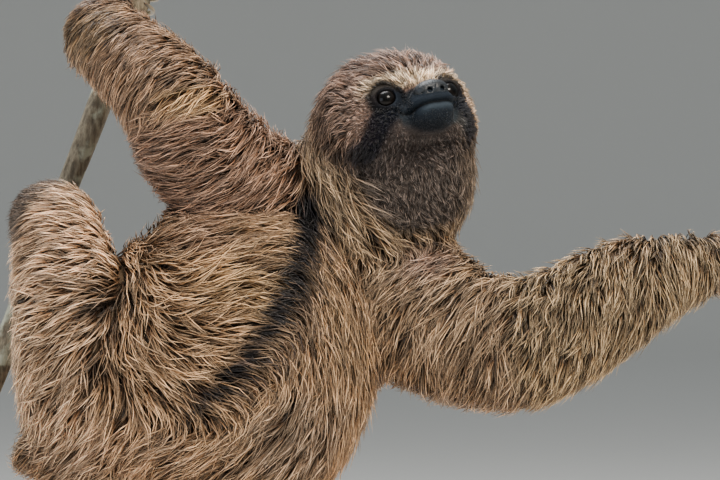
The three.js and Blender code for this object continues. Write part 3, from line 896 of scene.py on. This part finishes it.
def guided_lie(name, spots, normals):
    """The way that hair points on one part, blended between its guides."""
    guide_spots = np.array([spot for spot, _ in lie_guides[name]], float)
    turns = np.radians([turn for _, turn in lie_guides[name]])
    guide_ways = np.stack([np.cos(turns), np.zeros(len(turns)), np.sin(turns)], 1)
    reach = np.linalg.norm(spots[:, None] - guide_spots[None], axis=2)
    weight = 1.0 / (reach**2 + guide_blend**2) ** 2
    flat = unit((weight[..., None] * guide_ways).sum(1))
    behind = smoothstep(0.2, 0.5, normals[:, 1])[:, None]
    front = carried(flat, normals, np.array([0.0, -1.0, 0.0]))
    back = carried(flat, normals, np.array([0.0, 1.0, 0.0]))
    return front * (1 - behind) + back * behind


def stroked_lie(spots):
    """The way that hair points on the head: off the face, and hanging at the back."""
    face_hang, nape_hang = 0.25, 0.9
    places = to_face(spots)
    hang = nape_hang * smoothstep(-18.0, -50.0, places[:, 1]) + face_hang
    away = unit(places - np.array(stroke_from)) @ face_ways
    return away + hang[:, None] * np.array([-0.1, 0.0, -1.0])


def lie_of_coat(points, normals, owner, edges):
    """The way that hair points at each point of the skin, along its surface."""
    ways = np.zeros_like(points)
    for number, name in enumerate(flesh_parts):
        mine = np.flatnonzero(owner == number)
        stroked = name in ("head", "muzzle")
        ways[mine] = (
            stroked_lie(points[mine]) if stroked else guided_lie(name, points[mine], normals[mine])
        )
    ways -= normals * (ways * normals).sum(1, keepdims=True)
    ways = spread_out(unit(ways), edges, rounds=10)
    ways -= normals * (ways * normals).sum(1, keepdims=True)
    return unit(ways)


# ---- Markings ------------------------------------------------------------------------------

part_shades = {
    "trunk": "#bd9b75", "neck": "#b59c7c", "head": "#94796a", "muzzle": "#222831",
    "tail": "#c9a987", "upper_arm_left": "#ad8a72", "forearm_left": "#a9886a",
    "hand_left": "#8a6f57", "upper_arm_right": "#b39879", "forearm_right": "#b29a76",
    "hand_right": "#a58d74", "thigh_left": "#e4c29e", "shank_left": "#ecc6a0",
    "foot_left": "#85715f", "thigh_right": "#cdaa88", "shank_right": "#c6a684",
    "foot_right": "#85715f",
}

# Soft patches on the body: middle, half sizes, colour and strength
body_patches = [
    ((-68, 0, -22), (36, 40, 22), "#caa675", 0.75),  # golden mid-back, painted light where the light falls on it
    ((-20, 5, -20), (10, 40, 34), "#c4a779", 0.5),
    ((-102, 20, 6), (38, 50, 22), "#94745f", 0.7),  # reddish upper flank
    ((40, 40, -14), (26, 40, 12), "#bd9a8f", 0.6),  # mauve crest of the right shoulder
    ((140, 30, 2), (60, 30, 12), "#b08f79", 0.5),
    ((-50, 40, 52), (30, 60, 20), "#a98973", 0.4),
    ((-98, 25, 81), (20, 40, 8), "#dcb67f", 0.75),  # straw fold at the left elbow
    ((-130, 20, -118), (40, 60, 24), "#d6b28c", 0.8),
    ((-172, 60, -115), (34, 70, 26), "#ecc9a6", 0.8),
    ((-162, 60, 124), (22, 60, 18), "#846f50", 0.75),  # brown wrist
    ((0, 10, -52), (26, 50, 34), "#917858", 0.65),
    ((-35, 10, -116), (32, 50, 28), "#9a8a7a", 0.65),  # greyer small of the back
    ((-149, 10, -32), (14, 30, 16), "#46352b", 0.75),  # shadowed fold above the knee
    ((-154, 10, -74), (10, 30, 12), "#3a342f", 0.8),  # painted shade where three lies of the coat meet and part
]
foot_back_shade, foot_back_strength = "#4b3c31", 0.95
# Near black down the back: dark hair along a parting, with the parting's shade painted in.
back_stripe_shade = "#100d13"
back_stripe_line = [  # across and high
    (-30, 22), (-35, -6), (-42, -29), (-55, -52), (-72, -75), (-92, -95), (-112, -110)
]
back_stripe_half_widths = [(-110, 2.5), (-80, 5.5), (-45, 8.4), (-10, 8.8)]  # by height

eye_stripe_line = [(20, -1), (27, -12), (36, -23), (46, -33)]  # aside of and above the eyes
throat_middle, throat_half = (36.0, 40.0, 38.0), (38.0, 60.0, 33.0)
muzzle_limits = [("ahead", -3, 4, 0), ("up", 4, 0, 0), ("side", 26, 19, 0)]

# Marks of the head, laid over one another in this order: colour, strength and limits. A limit
# is a measure of face_measures, the two places between which the mark fades in along it, and
# how much its edge wavers; a bare name is a measure that is a share already.
face_marks = [
    ("#5a5250", 0.92, ["throat"]),  # dark wool of the throat
    ("#8f7a60", 0.6, ["throat", ("x", 52, 70, 0)]),  # its paler edge
    # The hood: brown coat, darkened further with painted shade under the cheek.
    ("#67574a", 0.7, ["head", "off_throat", ("ahead", -14, -36, 0), ("up", 22, 12, 0)]),  # hood
    ("#f0d9b8", 0.95, [  # pale brow
        "head", ("up", 2, 6, 1), ("up", 17, 12, 2), ("right", 36, 26, 2),
        ("right", -50, -40, 0), ("ahead", 8, 2, 0), ("ahead", -36, -18, 0),
    ]),
    ("#4b5458", 0.85, [  # cheeks
        "head", "off_throat", ("up", 3, -4, 0), ("ahead", -28, -16, 0), ("side", 34, 26, 0),
    ]),
    ("#c8a983", 0.7, [  # left side of the face paler: painted light where the key light falls
        "head", ("right", -27, -36, 0), ("up", -24, -14, 0), ("ahead", -36, -18, 0),
    ]),
    ("#090e1e", 0.95, ["head", ("stripe", 9.5, 4.5, 1.5), ("ahead", -42, -30, 0)]),
    ("#0a0b10", 0.97, [("eye", 13, 10, 1)]),  # bare rims
    ("#18202a", 0.95, muzzle_limits),
    # Painted highlight on the lower lip, where light falls on it.
    ("#54616c", 0.35, ["lower_lip", ("side", 13, 7, 0), ("ahead", 3, 7, 0)]),
    # Painted shade in the groove between the lips, near black.
    ("#030405", 0.95, ["parting", *muzzle_limits]),
]


def ragged(points, size):
    """Slow wavering between -1 and 1, for edges that aren't ruled."""
    x, y, z = (np.asarray(points, float) / size).T
    value = np.sin(x * 1.7 + 1.3 * np.sin(z * 1.1)) + np.sin(z * 2.3 + 1.7 * np.sin(y * 1.9))
    return (value + np.sin(y * 2.9 + 1.1 * np.sin(x * 2.7))) / 3.0


def laid_over(shades, strength, colour):
    return shades + (linear(colour) - shades) * np.clip(strength, 0, 1)[:, None]


def throat_share(points):
    """Where the throat's short dark wool grows, 0 to 1."""
    away = np.linalg.norm((points - np.array(throat_middle)) / np.array(throat_half), axis=1)
    return smoothstep(1.12, 0.9, away + 0.06 * ragged(points, 9.0))


def foot_back_share(points):
    """Where the back of the left foot is smooth and dark, 0 to 1: a crescent round the heel."""
    heel_x, half_wide, half_high = -170.0, 28.0, 34.0
    x, _, z = points.T
    away = np.hypot((x - heel_x) / half_wide, z / half_high) + 0.03 * ragged(points, 6.0)
    here = smoothstep(-168, -176, x) * smoothstep(-8, 0, z) * smoothstep(70, 55, z)
    return smoothstep(0.84, 0.96, away) * here


def face_measures(points, on_head):
    """What the limits of the head's marks are measured by."""
    places = to_face(points)
    right, ahead, up = places.T
    side = np.abs(right)
    throat = throat_share(points)
    lips = mouth_reach(places)
    return {
        "right": right, "side": side, "ahead": ahead, "up": up, "x": points[:, 0],
        "eye": eye_reach(places),
        "stripe": line_distance(np.stack([side, up], 1), eye_stripe_line),
        "head": on_head, "throat": throat, "off_throat": 1 - throat,
        "lower_lip": ridge(lips, lower_lip_place, lower_lip_width),
        "parting": ridge(lips, 0.0, 0.9),
    }


def face_markings(shades, points, on_head):
    """Pale brow, dark eye stripes, grey muzzle and the brown throat."""
    waver_size = 7.0
    measures = face_measures(points, on_head)
    waver = ragged(points, waver_size)
    for colour, strength, limits in face_marks:
        share = strength
        for limit in limits:
            if isinstance(limit, str):
                share = share * measures[limit]
                continue
            measure, outer, inner, wavering = limit
            share = share * smoothstep(outer, inner, measures[measure] + wavering * waver)
        shades = laid_over(shades, share, colour)
    return shades


def markings(points, owner, edges):
    """The coat's colour at each point of the skin, and which points are the head's."""
    patch_waver, patch_waver_size = 0.25, 11.0
    stripe_waver, stripe_waver_size = 3.5, 5.0
    shades = np.array([linear(part_shades[name]) for name in flesh_parts])[owner]
    shades = spread_out(shades, edges, rounds=14)
    head_numbers = [flesh_parts.index("head"), flesh_parts.index("muzzle")]
    on_head = spread_out(np.isin(owner, head_numbers), edges, rounds=6)
    for middle, sizes, colour, strength in body_patches:
        away = np.linalg.norm((points - np.array(middle)) / np.array(sizes), axis=1)
        edge = away + patch_waver * ragged(points, patch_waver_size)
        shades = laid_over(shades, strength * smoothstep(1.25, 0.6, edge) * (1 - on_head), colour)
    shades = laid_over(shades, foot_back_strength * foot_back_share(points), foot_back_shade)
    # The back stripe: dark hair with the painted shade of its parting.
    reach = line_distance(points[:, (0, 2)], back_stripe_line)
    edge = reach + stripe_waver * ragged(points, stripe_waver_size)
    inside = np.interp(points[:, 2], *np.array(back_stripe_half_widths).T) - edge
    on_back = smoothstep(100, 80, points[:, 1])
    shades = laid_over(shades, smoothstep(-4.0, 3.0, inside) * on_back, back_stripe_shade)
    return face_markings(shades, points, on_head), on_head


# ---- Hair ----------------------------------------------------------------------------------


class Skin:
    """The finished skin with all that the coat needs to know at each of its points."""

    def __init__(self, points, triangles):
        self.points = points
        self.triangles = triangles
        self.normals = point_normals(points, triangles)
        edges = mesh_edges(triangles)
        self.owner = nearest_parts(points)
        self.lie = lie_of_coat(points, self.normals, self.owner, edges)
        self.shade, self.on_head = markings(points, self.owner, edges)
        values = spread_out(coat_table[self.owner], edges, rounds=10)
        self.depth, self.length, self.width, self.dense, self.curl = values.T
        self.trim_face()
        self.trim_foot_back()
        self.tree = BVHTree.FromPolygons(points.tolist(), triangles.tolist())

    def trim_face(self):
        """Hair gets short and fine over the brow, and shortest on cheeks, lids and muzzle."""
        brow_short, cheek_short, snout_short, throat_short, most_short = 0.7, 0.25, 0.4, 0.82, 0.93
        half_snout, half_tip = 24, 13
        places = to_face(self.points)
        right, ahead, up = places.T
        front = smoothstep(-36, -12, ahead) * smoothstep(26, 12, up) * self.on_head
        low = smoothstep(6, -2, up) * smoothstep(-26, -12, ahead) * self.on_head
        snout = smoothstep(0, 8, ahead) * smoothstep(4, 0, up) * (np.abs(right) < half_snout)
        short = brow_short * front + cheek_short * low + snout_short * snout
        short = np.minimum(short, most_short)
        throat = throat_share(self.points)
        edge_of_throat = smoothstep(50, 68, self.points[:, 0])
        short = np.maximum(short, throat_short * throat * (1 - 0.5 * edge_of_throat))
        rims = smoothstep(10.5, 8.8, eye_reach(places))
        tip = smoothstep(6, 10, ahead) * (np.abs(right) < half_tip) * smoothstep(-21, -18, up)
        self.bare = np.maximum(rims, tip)
        self.fine = short * (1 - 0.35 * throat)
        self.length = self.length * (1 - short)
        self.depth = self.depth * (1 - 0.7 * short)
        self.width = self.width * (1 - 0.5 * short - 0.15 * throat)
        self.dense = self.dense * (1 + 2.0 * short) * (1 - self.bare)
        self.curl = self.curl * (1 + 0.7 * throat)

    def trim_foot_back(self):
        """The back of the left foot has short fine hair that lies close."""
        share = foot_back_share(self.points)
        self.length = self.length * (1 - 0.6 * share)
        self.width = self.width * (1 - 0.4 * share)
        self.dense = self.dense * (1 + 1.5 * share)
        self.fine = np.maximum(self.fine, 0.5 * share)


class Roots:
    """Places spread over the skin by how thickly hair grows."""

    def __init__(self, skin, count):
        self.triangles = skin.triangles
        a, b, c = (skin.points[skin.triangles[:, k]] for k in range(3))
        area = np.linalg.norm(np.cross(b - a, c - a), axis=1)
        wanted = area * skin.dense[skin.triangles].mean(1)
        totals = np.cumsum(wanted) / wanted.sum()
        self.face = np.searchsorted(totals, (np.arange(count) + rng.random(count)) / count)
        first, second = rng.random((2, count))
        flip = first + second > 1
        first, second = np.where(flip, 1 - first, first), np.where(flip, 1 - second, second)
        self.weight = np.stack([1 - first - second, first, second], 1)

    def of(self, values):
        """Values of the skin's points at the roots."""
        corners = values[self.triangles[self.face]]
        weight = self.weight.reshape(self.weight.shape + (1,) * (corners.ndim - 2))
        return (corners * weight).sum(1)


walk_steps = 7
walk_reach = 1.25  # a lock's path goes on this much past its usual length


def walk_locks(skin, roots, normals, lengths, turns):
    """Paths of locks over the skin: at each step they follow the lie of the coat there."""
    spots, path, above = roots, [roots], [normals]
    step = lengths * walk_reach / walk_steps
    first_corner = skin.triangles[:, 0]
    near = first_corner[[skin.tree.find_nearest(p)[2] for p in spots.tolist()]]
    for _ in range(walk_steps):
        way = skin.lie[near]
        side = np.cross(skin.normals[near], way)
        way = unit(way * np.cos(turns)[:, None] + side * np.sin(turns)[:, None])
        found = [skin.tree.find_nearest(p) for p in (spots + way * step[:, None]).tolist()]
        spots = np.array([spot[:] for spot, _, _, _ in found])
        near = first_corner[[face for _, _, face, _ in found]]
        path.append(spots)
        above.append(skin.normals[near])
    return np.stack(path, 1), np.stack(above, 1)


def along_path(values, places):
    """Values of each lock's path at places given as steps."""
    low = np.clip(places.astype(int), 0, walk_steps - 1)
    part = (places - low)[..., None]
    rows = np.arange(len(values))[:, None]
    return values[rows, low] * (1 - part) + values[rows, low + 1] * part


def between(limits, count):
    """A random number between two limits for each strand, as a column."""
    return limits[0] + (limits[1] - limits[0]) * rng.random((count, 1))


def grow_locks(skin, count, look):
    """Locks of hair: their roots, their paths over the skin, the normals there and tones."""
    drift, drift_size, spread = 0.35, 9.0, 0.9
    roots = Roots(skin, count)
    root = roots.of(skin.points)
    turns = drift * ragged(root, drift_size) + roots.of(skin.curl) * rng.normal(0, spread, count)
    turns = turns + rng.normal(0, look["stray"], count)
    lengths = roots.of(skin.length) * look["long"]
    paths, above = walk_locks(skin, root, unit(roots.of(skin.normals)), lengths, turns)
    return root, paths, above, rng.normal(0, look["lock_tone"], count)


def nearest_locks(lock_roots, roots):
    tree = KDTree(len(lock_roots))
    for k, root in enumerate(lock_roots.tolist()):
        tree.insert(root, k)
    tree.balance()
    return np.array([tree.find(root)[1] for root in roots.tolist()])


def strand_shades(skin, roots, line, look):
    """Each strand's colours: its root's own, mixed with those of the skin it lies over."""
    covered = [skin.tree.find_nearest(p)[2] for p in line[:, 1:].reshape(-1, 3).tolist()]
    local = skin.shade[skin.triangles[covered, 0]].reshape(len(line), -1, 3)
    own = roots.of(skin.shade)[:, None]
    stained = rng.random(len(line)) < look["stained"]
    share = np.where(stained, stained_own_share, clean_own_share)[:, None, None]
    return np.concatenate([own, own**share * local ** (1 - share)], 1)


def strand_group(skin, uv, count, locks, look):
    """Strands of one layer of the coat, each following its lock's path over the skin."""
    lock_root, paths, above, lock_tone = grow_locks(skin, locks, look)
    roots = Roots(skin, count)
    root = roots.of(skin.points)
    lock = nearest_locks(lock_root, root)
    rings = look["parts"] + 1
    share = np.linspace(0, 1, rings)[None]
    reach = between(look["reach"], count)
    places = np.clip(share * (reach / walk_reach) * walk_steps, 0, walk_steps - 1e-6)
    line = along_path(paths[lock], places)
    normal = unit(along_path(above[lock], places))
    offset = np.repeat((root - lock_root[lock])[:, None], rings, axis=1)
    offset[:, 1:] -= normal[:, 1:] * (offset[:, 1:] * normal[:, 1:]).sum(2, keepdims=True)
    pinch = 1 - look["pinch"] * between(pinch_range, count) * share**pinch_power
    depth = roots.of(skin.depth)[:, None]
    level = between(look["level"], count)
    lifted = look["lift"] * depth * rng.random((count, 1)) ** 3 * share**2
    height = depth * level * share**rise_power + lifted
    side = unit(np.cross(normal, unit(np.gradient(line, axis=1))))
    phase = between(wave_start, count)
    wave = np.sin(share * between(wave_turn, count) + phase)
    wave = look["wave"] * look["long"] * roots.of(skin.length)[:, None] * (wave - wave[:, :1])
    line = line + offset * pinch[..., None] + normal * height[..., None] + side * wave[..., None]
    line[:, 0] -= normal[:, 0] * root_sunk
    width = roots.of(skin.width)[:, None] * look["wide"] * between(width_range, count)
    shade = strand_shades(skin, roots, line, look)
    tone = look["tone"][0] + look["tone"][1] * (level[:, 0] - 0.5) + lock_tone[lock]
    tone += rng.normal(0, strand_tone, count) + bright_tone * (rng.random(count) < look["bright"])
    return {
        "line": line,
        "normal": normal,
        "width": width * np.array(look["taper"]),
        "along": share + (1 - share) * fine_paler * roots.of(skin.fine)[:, None],
        "shade": shade,
        "tone": np.clip(tone, 0, 1),
        "uv": (uv[roots.face] * roots.weight[..., None]).sum(1),
        "part": skin.owner[skin.triangles[roots.face, 0]],
    }


def strand_faces(rings):
    """One strand's corners and face sizes, and each corner's place on its patch of the map."""
    last, tip = (rings - 1) * 3, rings * 3
    quads = ring_quads(rings, 3)
    point = [(last + k, last + (k + 1) % 3, tip) for k in range(3)]
    pattern = np.concatenate([[0, 2, 1], quads.ravel(), np.ravel(point)])
    patch = [(0.0, 0.0), (0.0, 1.0), (0.0, 0.5)]
    for ring in range(rings):
        low, high = ring / rings, (ring + 1) / rings
        for k in range(3):
            left, right = k / 3, (k + 1) / 3
            far = [(high, right), (high, left)] if ring < rings - 1 else [(high, (k + 0.5) / 3)]
            patch += [(low, left), (low, right), *far]
    return pattern, [3] + [4] * len(quads) + [3] * 3, np.array(patch)


def strand_mesh(name, group, chosen, material):
    """Tapered three-sided solid strands, closed at root and tip, as one piece."""
    flatness, patch_size = 0.6, 0.003
    line, normal, width = (group[key][chosen] for key in ("line", "normal", "width"))
    count, rings = width.shape
    way = unit(np.gradient(line, axis=1))[:, :rings]
    side = unit(np.cross(normal[:, :rings], way))
    up = np.cross(way, side)
    corner_turns = np.radians([90, 210, 330])
    half = width[..., None] * 0.5
    wide = (half * np.cos(corner_turns))[..., None]
    thick = (half * flatness * np.sin(corner_turns))[..., None]
    ring_points = line[:, :rings, None] + side[:, :, None] * wide + up[:, :, None] * thick
    points = np.concatenate([ring_points.reshape(count, rings * 3, 3), line[:, -1:]], 1)
    pattern, sizes, patch = strand_faces(rings)
    corners = pattern[None] + (np.arange(count) * points.shape[1])[:, None]
    sizes = np.tile(sizes, count)
    mesh = new_piece(name, points.reshape(-1, 3), corners, sizes, material, "coat").data

    def to_points(values):
        return np.concatenate([np.repeat(values[:, :rings], 3, axis=1), values[:, -1:]], 1)

    set_value(mesh, "along", to_points(group["along"][chosen]).ravel())
    set_value(mesh, "tone", np.repeat(group["tone"][chosen], points.shape[1]))
    set_value(mesh, "shade", to_points(group["shade"][chosen]).reshape(-1, 3))
    spots = np.clip(group["uv"][chosen], 0, 1 - patch_size)[:, None] + patch * patch_size
    layer = mesh.uv_layers.new(name="OFBake")
    layer.data.foreach_set("uv", spots.astype(np.float32).ravel())


hair_pieces = {
    "trunk": ["trunk"],
    "neck_and_tail": ["neck", "tail"],
    "head": ["head", "muzzle"],
}
for limb, limb_parts in limbs.items():
    for limb_side in ("left", "right"):
        hair_pieces[f"{limb_side}_{limb}"] = [f"{part}_{limb_side}" for part in limb_parts]

# For each layer: how many strands and locks, shares of the usual length and width, how locks
# stray and strands draw together, how high they lie in the coat, and their tones
layers = {
    "under": {
        "count": 15000, "locks": 5000,
        "long": 0.7, "stray": 0.12, "parts": 2, "reach": (0.6, 0.9), "pinch": 0.2,
        "level": (0.15, 0.5), "lift": 0.1, "wave": 0.02, "wide": 3.0, "taper": (0.9, 1.0),
        "tone": (0.2, 0.2), "lock_tone": 0.05, "bright": 0.0, "stained": 1.0,
    },
    "guard": {
        "count": 80000, "locks": 13000,
        "long": 1.0, "stray": 0.1, "parts": 3, "reach": (0.6, 1.15), "pinch": 0.7,
        "level": (0.45, 1.15), "lift": 0.6, "wave": 0.045, "wide": 1.0,
        "taper": (0.6, 1.0, 0.75),
        "tone": (0.42, 0.45), "lock_tone": 0.1, "bright": 0.14, "stained": 0.8,
    },
}
root_sunk = 0.6  # how deep a root sits in the skin
pinch_range, pinch_power = (0.6, 1.0), 1.2  # how strands draw together along their lock
rise_power = 0.55  # a strand rises to its level soon after its root
wave_start, wave_turn = (0, 6.28), (3.2, 5.7)  # radians, at the root and along the strand
width_range = (0.7, 1.3)
fine_paler = 0.7  # how far the roots of fine hair are as pale as its tips
strand_tone, bright_tone = 0.16, 0.35  # how much one strand's tone varies, and a bright one's more
stained_own_share, clean_own_share = 0.12, 0.55  # of the root's colour in a strand
piece_limit = 195000  # triangles in one piece of coat


def make_coat(skin, uv):
    material = long_hair()
    groups = {
        name: strand_group(skin, uv, look["count"], look["locks"], look)
        for name, look in layers.items()
    }
    for layer, group in groups.items():
        rings = group["width"].shape[1]
        triangles_each = 1 + 6 * (rings - 1) + 3
        for piece_name, members in hair_pieces.items():
            numbers = [flesh_parts.index(member) for member in members]
            chosen = np.flatnonzero(np.isin(group["part"], numbers))
            cuts = math.ceil(len(chosen) * triangles_each / piece_limit)
            for cut, some in enumerate(np.array_split(chosen, cuts)):
                strand_mesh(f"coat_{layer}_{piece_name}_{cut + 1}", group, some, material)


# ---- Skin piece ----------------------------------------------------------------------------


def unwrap(piece):
    """Lays the piece's faces out on the map OFBake, and returns each face's corners there."""
    most_bend, room_between = math.radians(66), 0.002
    bpy.ops.object.select_all(action="DESELECT")
    piece.select_set(True)
    bpy.context.view_layer.objects.active = piece
    layer = piece.data.uv_layers.new(name="OFBake").name
    bpy.ops.object.mode_set(mode="EDIT")
    bpy.ops.mesh.select_all(action="SELECT")
    bpy.ops.uv.smart_project(angle_limit=most_bend, island_margin=room_between)
    bpy.ops.object.mode_set(mode="OBJECT")
    uv = np.empty(len(piece.data.loops) * 2, np.float32)
    piece.data.uv_layers[layer].data.foreach_get("uv", uv)
    return uv.reshape(-1, 3, 2)


def make_body():
    """The skin with its lids as one piece, and the coat that grows on it."""
    bare_lid_shade = "#08080b"
    seen_through_fine = 0.8  # how much of the skin shows through the finest hair
    points, triangles = make_skin()
    skin = Skin(points, triangles)
    lids = [lid_shell(side) for side in (-1, 1)]
    every_point, faces = join_meshes([(points, triangles), *lids])
    piece = new_piece("skin", every_point, faces, 3, short_coat(), "coat", flesh_parts)
    lid_points = len(every_point) - len(points)
    lid_shade = np.tile(linear(bare_lid_shade), (lid_points, 1))
    set_value(piece.data, "shade", np.concatenate([skin.shade, lid_shade]))
    bare = np.maximum(skin.bare, seen_through_fine * skin.fine)
    set_value(piece.data, "bare", np.concatenate([bare, np.ones(lid_points)]))
    make_coat(skin, unwrap(piece)[: len(triangles)].astype(float))


# ---- Eyes, nose and claws ------------------------------------------------------------------


def make_eyes():
    around, high = 48, 24
    leans = np.radians(np.linspace(-90, 90, high + 1))[1:-1]
    ball = turned_rings(eye_radius * np.cos(leans), eye_radius * np.sin(leans), around)
    poles = np.array([(0, 0, -eye_radius), (0, 0, eye_radius)])
    for side, name in ((1, "eye_right"), (-1, "eye_left")):
        middle = from_face(eye_middle(side))
        material = glass_eye(unit(gaze(side)) @ face_ways, to_row(middle))
        form = capped_rings(middle + ball, middle + poles)
        new_piece(f"glass_{name}", *form, material, "eye", (name,))


# Forms of the nose, as places of the face: egg forms, then cuts with their radius and rim
nose_middle = ((0, 12.0, -4.9), (11.0, 7.6, 6.2))
nose_wing, wing_fold = ((4.2, 13.8, -7.1), (4.4, 4.6, 4.0)), 2.5
side_cuts = [
    ([(4.5, 21.0, -8.0), (3.5, 14.0, -6.0)], 1.55, 0.7),  # nostril
    ([(5.7, 19.2, -8.2), (8.2, 15.6, -7.6)], 0.45, 0.9),  # slit beside it
]
middle_cut = ([(0, 20.3, -13), (0, 19.8, -5.5)], 0.4, 1.0)


def make_nose():
    """The bare nose: a broad pad with two nostrils that open forwards and outwards."""
    voxel = 0.5
    low, high = np.array([-16, 4, -18]), np.array([16, 28, 4])
    cells = ((high - low) / voxel).astype(int)
    grid = np.stack(np.meshgrid(*map(np.arange, cells), indexing="ij"), -1) * voxel + low
    places = grid.reshape(-1, 3)
    mirrored = [places * (side, 1, 1) for side in (-1, 1)]
    form = ball_distance(places, *nose_middle)
    for spots in mirrored:
        form = melt(form, ball_distance(spots, *nose_wing), wing_fold)
    cuts = [(spots, *cut) for spots in mirrored for cut in side_cuts]
    for spots, line, radius, rim in [*cuts, (places, *middle_cut)]:
        form = carve(form, line_distance(spots, line) - radius, rim)
    pad = openvdb.FloatGrid(3.0)
    pad.copyFromArray(form.reshape(cells).astype(np.float32))
    points, quads = outer_quads(pad)
    points = from_face(points * voxel + low)
    new_piece("nose_pad", points, quads, 4, nose_leather(), "nose_skin", ("nose",))


def make_claws():
    """Claws as smooth tapering hooks, rounded out from the frame's own forms."""
    material = claw_keratin()
    swell, rounds = 0.7, 2  # the rounding takes in about as much as the swell adds
    claws = itertools.product(("hand", "foot"), ("left", "right"), (1, 2, 3))
    for limb, side, k in claws:
        node = f"{limb}_{side}_claw_{k}"
        points, triangles = node_form(node)
        points = points + point_normals(points, triangles) * swell
        reach = np.linalg.norm(points - node_box(f"{limb}_{side}").mean(0), axis=1)
        name = f"claw_{limb}_{side}_{k}"
        piece = new_piece(name, points, triangles, 3, material, "claw_horn", (node,))
        set_value(piece.data, "along", (reach - reach.min()) / np.ptp(reach))
        rounding = piece.modifiers.new("rounding", "SUBSURF")
        rounding.levels = rounding.render_levels = rounds


# ---- Branch and stand ----------------------------------------------------------------------


def tube_piece(name, line, radii, around, materials, slot, node, relief=None):
    """A round tube; `relief` moves its wall in and out, and a second material is its ends'."""
    line = np.asarray(line, float)
    way = unit(line[-1] - line[0])
    first = unit(np.cross(way, (0, 1.0, 0)))
    second = np.cross(way, first)
    turns = np.arange(around) * 2 * np.pi / around
    ways = first * np.cos(turns)[:, None] + second * np.sin(turns)[:, None]
    radius = np.asarray(radii, float)[:, None] * np.ones(around)
    if relief:
        radius = radius + relief(np.arange(len(line))[:, None], turns[None])
    form = capped_rings(line[:, None] + ways[None] * radius[..., None], line[[0, -1]])
    mesh = new_piece(name, *form, materials[0], slot, (node,)).data
    for end_material in materials[1:]:
        mesh.materials.append(end_material)
        at_ends = (form[2] == 3).astype(np.int32)
        mesh.polygons.foreach_set("material_index", at_ends)


def bark_relief(ring, turn):
    """How far the bark stands out: long low ridges, slow swells, a knot and a twig's scar."""
    ridges = 0.28 * np.sin(turn * 7 + 0.8 * np.sin(ring * 0.05)) * np.sin(ring * 0.09 + turn * 2)
    swell = 0.4 * np.sin(ring * 0.07) + 0.25 * np.sin(ring * 0.023 + 1.0 + turn)
    knot = 1.3 * ridge(ring, 96, 7.0) * ridge(turn, 2.0, 0.5)
    scar = 0.7 * ridge(ring, 176, 4.0) * ridge(turn, 4.6, 0.9)
    return ridges + swell + knot + scar


def make_branch():
    """The branch along the line of its CAD piece, with its sharp end edges taken off."""
    points, _ = node_form("branch")
    end, rings, around, radius, edge = 9.0, 260, 56, 7.0, 0.5
    low = points[points[:, 2] < points[:, 2].min() + end].mean(0)
    high = points[points[:, 2] > points[:, 2].max() - end].mean(0)
    way = unit(high - low)
    along = (points - low) @ way
    line = np.linspace(low + way * along.min(), low + way * along.max(), rings)
    radii = np.full(rings, radius)
    radii[[0, 1, -2, -1]] -= edge
    materials = [grey_bark(), sawn_end()]
    tube_piece("bark_branch", line, radii, around, materials, "bark", "branch", bark_relief)


def make_base():
    """The oak board: round corners, and round edges above and below."""
    low, high = node_box("stand_base")
    corner_radius, edge, corner_steps, edge_steps = 40.0, 3.0, 12, 5
    middle, half = (low + high) / 2, (high - low) / 2 - corner_radius
    quarter = np.repeat(np.arange(4), corner_steps + 1)
    turn = np.radians(90 * (quarter + np.tile(np.linspace(0, 1, corner_steps + 1), 4)))
    corner = np.radians(45 + 90 * quarter)
    lean = np.radians(np.linspace(0, 90, edge_steps + 1))
    inset, rise = edge * (1 - np.cos(lean)), edge * np.sin(lean)
    reach = corner_radius - np.concatenate([inset[::-1], inset])[:, None]
    height = np.concatenate([low[2] + edge - rise[::-1], high[2] - edge + rise])
    across = middle[0] + half[0] * np.sign(np.cos(corner)) + reach * np.cos(turn)
    away = middle[1] + half[1] * np.sign(np.sin(corner)) + reach * np.sin(turn)
    rings = np.stack(np.broadcast_arrays(across, away, height[:, None]), -1)
    ends = [(*middle[:2], low[2]), (*middle[:2], high[2])]
    form = capped_rings(rings, ends)
    new_piece("oak_base", *form, oiled_oak(), "base_wood", ("stand_base",))


def make_rods():
    """Two steel rods, each with a low ferrule round its foot on the board."""
    steel = brushed_steel()
    board_top = node_box("stand_base")[1][2]
    ferrule, ferrule_high, rod, bevel, around = 8.0, 4.0, 5.0, 0.8, 40
    foot_bevel, foot_bevel_high = 0.3, 0.2
    for node in ("stand_rod_branch", "stand_rod_belly"):
        low, high = node_box(node)
        heights = [0.0, foot_bevel_high, ferrule_high - bevel, ferrule_high, ferrule_high]
        heights.append(high[2] - board_top)
        radii = [ferrule - foot_bevel, ferrule, ferrule, ferrule - bevel, rod, rod]
        x, y = (low + high)[:2] / 2
        line = [(x, y, board_top + height) for height in heights]
        name = node.replace("stand_", "steel_")
        tube_piece(name, line, radii, around, [steel], "rod_steel", node)


# ---- The whole -----------------------------------------------------------------------------

make_camera()
make_lights()
make_floor()
make_eyes()
make_nose()
make_claws()
make_branch()
make_base()
make_rods()
make_body()
